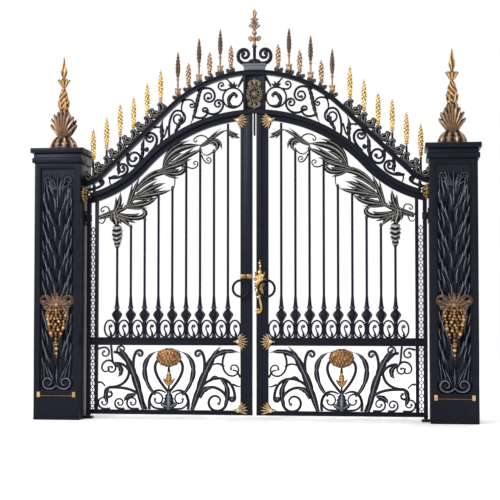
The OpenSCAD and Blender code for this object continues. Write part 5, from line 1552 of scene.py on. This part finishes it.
# %% Palmettes
FAN_STEP = 23                 # degrees from leaf to leaf


def palmette(shell, z, y, dip=0, lowest=-3):
    """A boss and its fan of narrow leaves, the fan dipped by some degrees if asked."""
    for k in range(lowest, 4):
        root = (STILE_OUT + 14, z + 3 * k + dip)
        blade(shell, root, 180 + dip - FAN_STEP * k, 82 - 4 * abs(k), 21, 19, 2, y=y, bow=0.06 * k)
    knob(shell, (STILE_OUT + 18, y - 4, z + dip), 19, 15)
    blade(shell, (STILE_OUT + 16, z + dip), dip, 44, 24, 15, 2, y=y)


palmettes = Shell()
palmette(palmettes, 76, -25, lowest=-1)
palmette(palmettes, LOCK_Z + 32, -27)
palmette(palmettes, arch_z(LOW, STILE_OUT, 6) - 66, -25, 16)
palmettes.take(palmettes, back=True)
print("palmettes:", palmettes.count, "points on each leaf")

# %% [markdown]
# ### Strap
# The strap is a thin gilt band on each face of the left leaf's stile and the bar beside it, where
# the lock strikes. A bevelled box could be used; three rings of four points give the same edge.

# %% Clasps
STRAP_Z, STRAP_TALL = 1143, 34
strap = Shell()
for x0, x1, y in ((STILE_IN, 61.6, 23), (67, STILE_OUT, 16)):
    for face in (-1, 1):
        edge = np.array([(x0, 0), (x1, 0), (x1, STRAP_TALL), (x0, STRAP_TALL)])
        rows = [np.stack([np.clip(edge[:, 0], x0 + d, x1 - d), np.full(4, face * (y + t)),
                          STRAP_Z + np.clip(edge[:, 1], d, STRAP_TALL - d)], 1)
                for t, d in ((0.2, 0), (4, 0), (6, 2))]
        strap.skin(np.array(rows), -0.1)
for side in ("left", "right"):
    one = Shell()
    one.take(palmettes, (MIDDLE, 0, 0), flip=side == "left")
    if side == "left":
        one.take(strap, (MIDDLE, 0, 0), flip=True)
    made = side + "_palmettes"
    piece(made, shell_mesh(made, one), side + "_leaf", worn_gilt, "gilt", side + "_clasps")

# %% [markdown]
# ### Lock plate
# An openwork plate of acanthus with beads between its leaves covers the lock on the right leaf, and
# a hooked lever hangs below. It could be cut from sheet; blades that overlap have the depth of
# the casting, and the beads stand proud, where most of the gold is left and a painted highlight
# lies.

# %% Lock plate
PLATE_BEADS = ((-22, 62, 11), (19, 76, 10), (-6, 104, 12), (24, 34, 12), (-30, 22, 12),
               (28, -36, 12), (-25, -46, 12), (6, -74, 14), (-15, -98, 10), (21, -88, 10),
               (-14, 36, 9), (4, 152, 8), (-5, 178, 7))
plate = Shell()
lx, lz, ly = STILE_IN + 30, 1091.0, -28.0
for a, long, w in ((90, 150, 46), (112, 112, 34), (68, 112, 34), (136, 76, 30), (44, 70, 30)):
    blade(plate, (lx, lz + 6), a, long, w, 14, 5, y=ly)
for a, long, w in ((270, 120, 42), (248, 88, 32), (292, 88, 32), (222, 62, 28), (318, 56, 28)):
    blade(plate, (lx, lz - 6), a, long, w, 14, 5, y=ly)
for a, long, w in ((164, 50, 30), (16, 46, 30), (196, 50, 30), (344, 44, 30)):
    blade(plate, (lx, lz), a, long, w, 13, 4, y=ly)
blade(plate, (lx, lz + 128), 90, 84, 22, 10, 3, y=ly + 1)
knob(plate, (lx, ly - 6, lz), 24, 12)
plate.relief = [r - 0.25 for r in plate.relief]
for dx, dz, r in PLATE_BEADS:
    ball(plate, (lx + dx, ly - 3, lz + dz), r, 0.8, 0.1)
lever = bez((lx - 4, lz - 96, lx + 6, lz - 160, lx + 20, lz - 182, lx + 4, lz - 214))
bar(plate, curl(lever, 22, 0.75, -1), (15, 9, 5), 15, y=ly - 2)
on_middle("lock_plate_leaves", plate, "right_leaf", pale_gilt, "gilt", "lock_escutcheon")

# %% [markdown]
# ### Rosettes
# Beside the top hinge a gilt rosette is pinned to each post's inner face. It could be a row of
# petals; it is turned upright, with two rings of leaves, and then laid on its side against the
# post, which needs only its coordinates changed round.

# %% Rosettes
ROSETTE_Y, HINGE_X = -112, 1374
rosette = Shell()
turned(rosette, [(58, 0), (58, 9), (50, 14), (30, 16), (26, 30), (20, 46), (8, 56)], sides=28)
whorl(rosette, (0, 0, 0), 10, [(16, 18), (34, 24), (52, 22), (60, 12)], [14, 28, 34, 8], 10, 3)
whorl(rosette, (0, 0, 0), 8, [(10, 34), (24, 40), (36, 38), (42, 30)], [10, 20, 22, 6], 9, 3, 0.3)
ball(rosette, (0, 0, 50), 13)
# painted highlight: the whole rosette is made paler, since it stands in the post's shade
rosette.relief = [r + 0.55 for r in rosette.relief]
rosette_z = arch_z(LOW, HINGE_X, 6) + 14
rosette.points = [np.stack([HALF - p[:, 2] - SEAT, p[:, 1] + ROSETTE_Y, p[:, 0] + rosette_z], 1)
                  for p in rosette.points]
on_frame("post_rosettes", rosette, pale_gilt, "gilt")

# %% [markdown]
# ## Softened edges
# Rolled and riveted iron has no razor edges: corners are worn round and the paint thickens on
# them, so they catch a thin line of light. A bevel shader could fake it, but would not be exported.
# So copies of the plain solids are merged, cleared of flat edges and given a small real bevel.

# %% Softened solids
CORNER = math.radians(35)     # edges sharper than this are rounded


def softened(name, body, width, coat, *names):
    """One piece from plain solids, with edges rounded by a width in millimetres."""
    work = bmesh.new()
    for one in names:
        work.from_mesh(nodes[one].data)
    bmesh.ops.remove_doubles(work, verts=work.verts, dist=1e-5)
    bmesh.ops.dissolve_limit(work, angle_limit=math.radians(0.3), verts=work.verts,
                             edges=work.edges)
    sharp = [e for e in work.edges if len(e.link_faces) == 2 and e.calc_face_angle(0) > CORNER]
    bmesh.ops.bevel(work, geom=sharp, offset=width * MM, segments=2, profile=0.6, affect="EDGES",
                    clamp_overlap=True)
    mesh = bpy.data.meshes.new(name)
    work.to_mesh(mesh)
    work.free()
    piece(name, mesh, body, coat, "iron", *names)


LEAF_BARS = ("meeting_stile", "lock_rail", "bottom_rail", "heel_bar", "inner_bar")
softened("posts", "frame", 5, satin_black, "left_post", "right_post", "left_post_cap",
         "right_post_cap")
softened("crown_block", "frame", 4, grey_paint, "crown_pedestal")
softened("crown_sheet", "frame", 3, satin_black, "crown_panel", "stop_bar")
for side in ("left", "right"):
    solids = [side + "_" + one for one in LEAF_BARS]
    softened(side + "_stiles", side + "_leaf", 3, satin_black, *solids)

# %% [markdown]
# ## Studio
# A pale floor and a white world stand for the studio. A backdrop could be curved up behind; a world
# that is white to the eye and in reflections does the same with less, so gilt and paint show one
# bright room. Black paint stays black because its own sheen is low.

# %% Studio
FLOOR_HALF, FLOOR_X, FLOOR_Z = 14.0, 1.6, -0.001
floor_mesh = bpy.data.meshes.new("studio_floor")
corners = [(x * FLOOR_HALF + FLOOR_X, y * FLOOR_HALF, FLOOR_Z)
           for x, y in ((-1, -1), (1, -1), (1, 1), (-1, 1))]
floor_mesh.from_pydata(corners, [], [(0, 1, 2, 3)])
floor = bpy.data.objects.new("studio_floor", floor_mesh)
bpy.context.scene.collection.objects.link(floor)
pale, tree = finish_tree("pale_studio_floor")
sweep = add(tree, "ShaderNodeBsdfPrincipled", {"Base Color": hue("#fbfbfb"), "Roughness": 0.9,
                                               "Specular IOR Level": 0.1})
add(tree, "ShaderNodeOutputMaterial", {"Surface": sweep.outputs[0]})
floor_mesh.materials.append(pale)

world = bpy.data.worlds.new("studio_world")
bpy.context.scene.world = world
world.use_nodes = True
tree = world.node_tree
tree.nodes.clear()
room = add(tree, "ShaderNodeBackground", {"Color": (1, 1, 1, 1), "Strength": 1.0})
add(tree, "ShaderNodeOutputWorld", {"Surface": room.outputs[0]})
print("studio: floor", 2 * FLOOR_HALF, "m across, white world")


# %% [markdown]
# ## Lamps
# A photographer would set a broad lamp at the front left to shape the relief, and a weaker one
# behind. A sun could light it too, but its hard shadows would hide the leaf work, so both lamps
# are wide discs.

# %% Lamps
AIM, LAMP_WIDE = (1.6, 0, 1.5), 3.0


def lamp(name, place, aim, size, watts):
    light = bpy.data.lights.new(name, "AREA")
    light.shape, light.size, light.energy = "DISK", size, watts
    made = bpy.data.objects.new(name, light)
    made.location = place
    made.rotation_mode = "QUATERNION"
    made.rotation_quaternion = (Vector(aim) - Vector(place)).to_track_quat("-Z", "Y")
    bpy.context.scene.collection.objects.link(made)


lamp("key_lamp", (-2.5, -6.5, 6.0), AIM, LAMP_WIDE, 560)
lamp("back_lamp", (4.5, 6.0, 6.5), AIM, LAMP_WIDE, 240)
bpy.context.scene.view_settings.view_transform = "Standard"
print("lamps:", [light.name for light in bpy.data.lights])
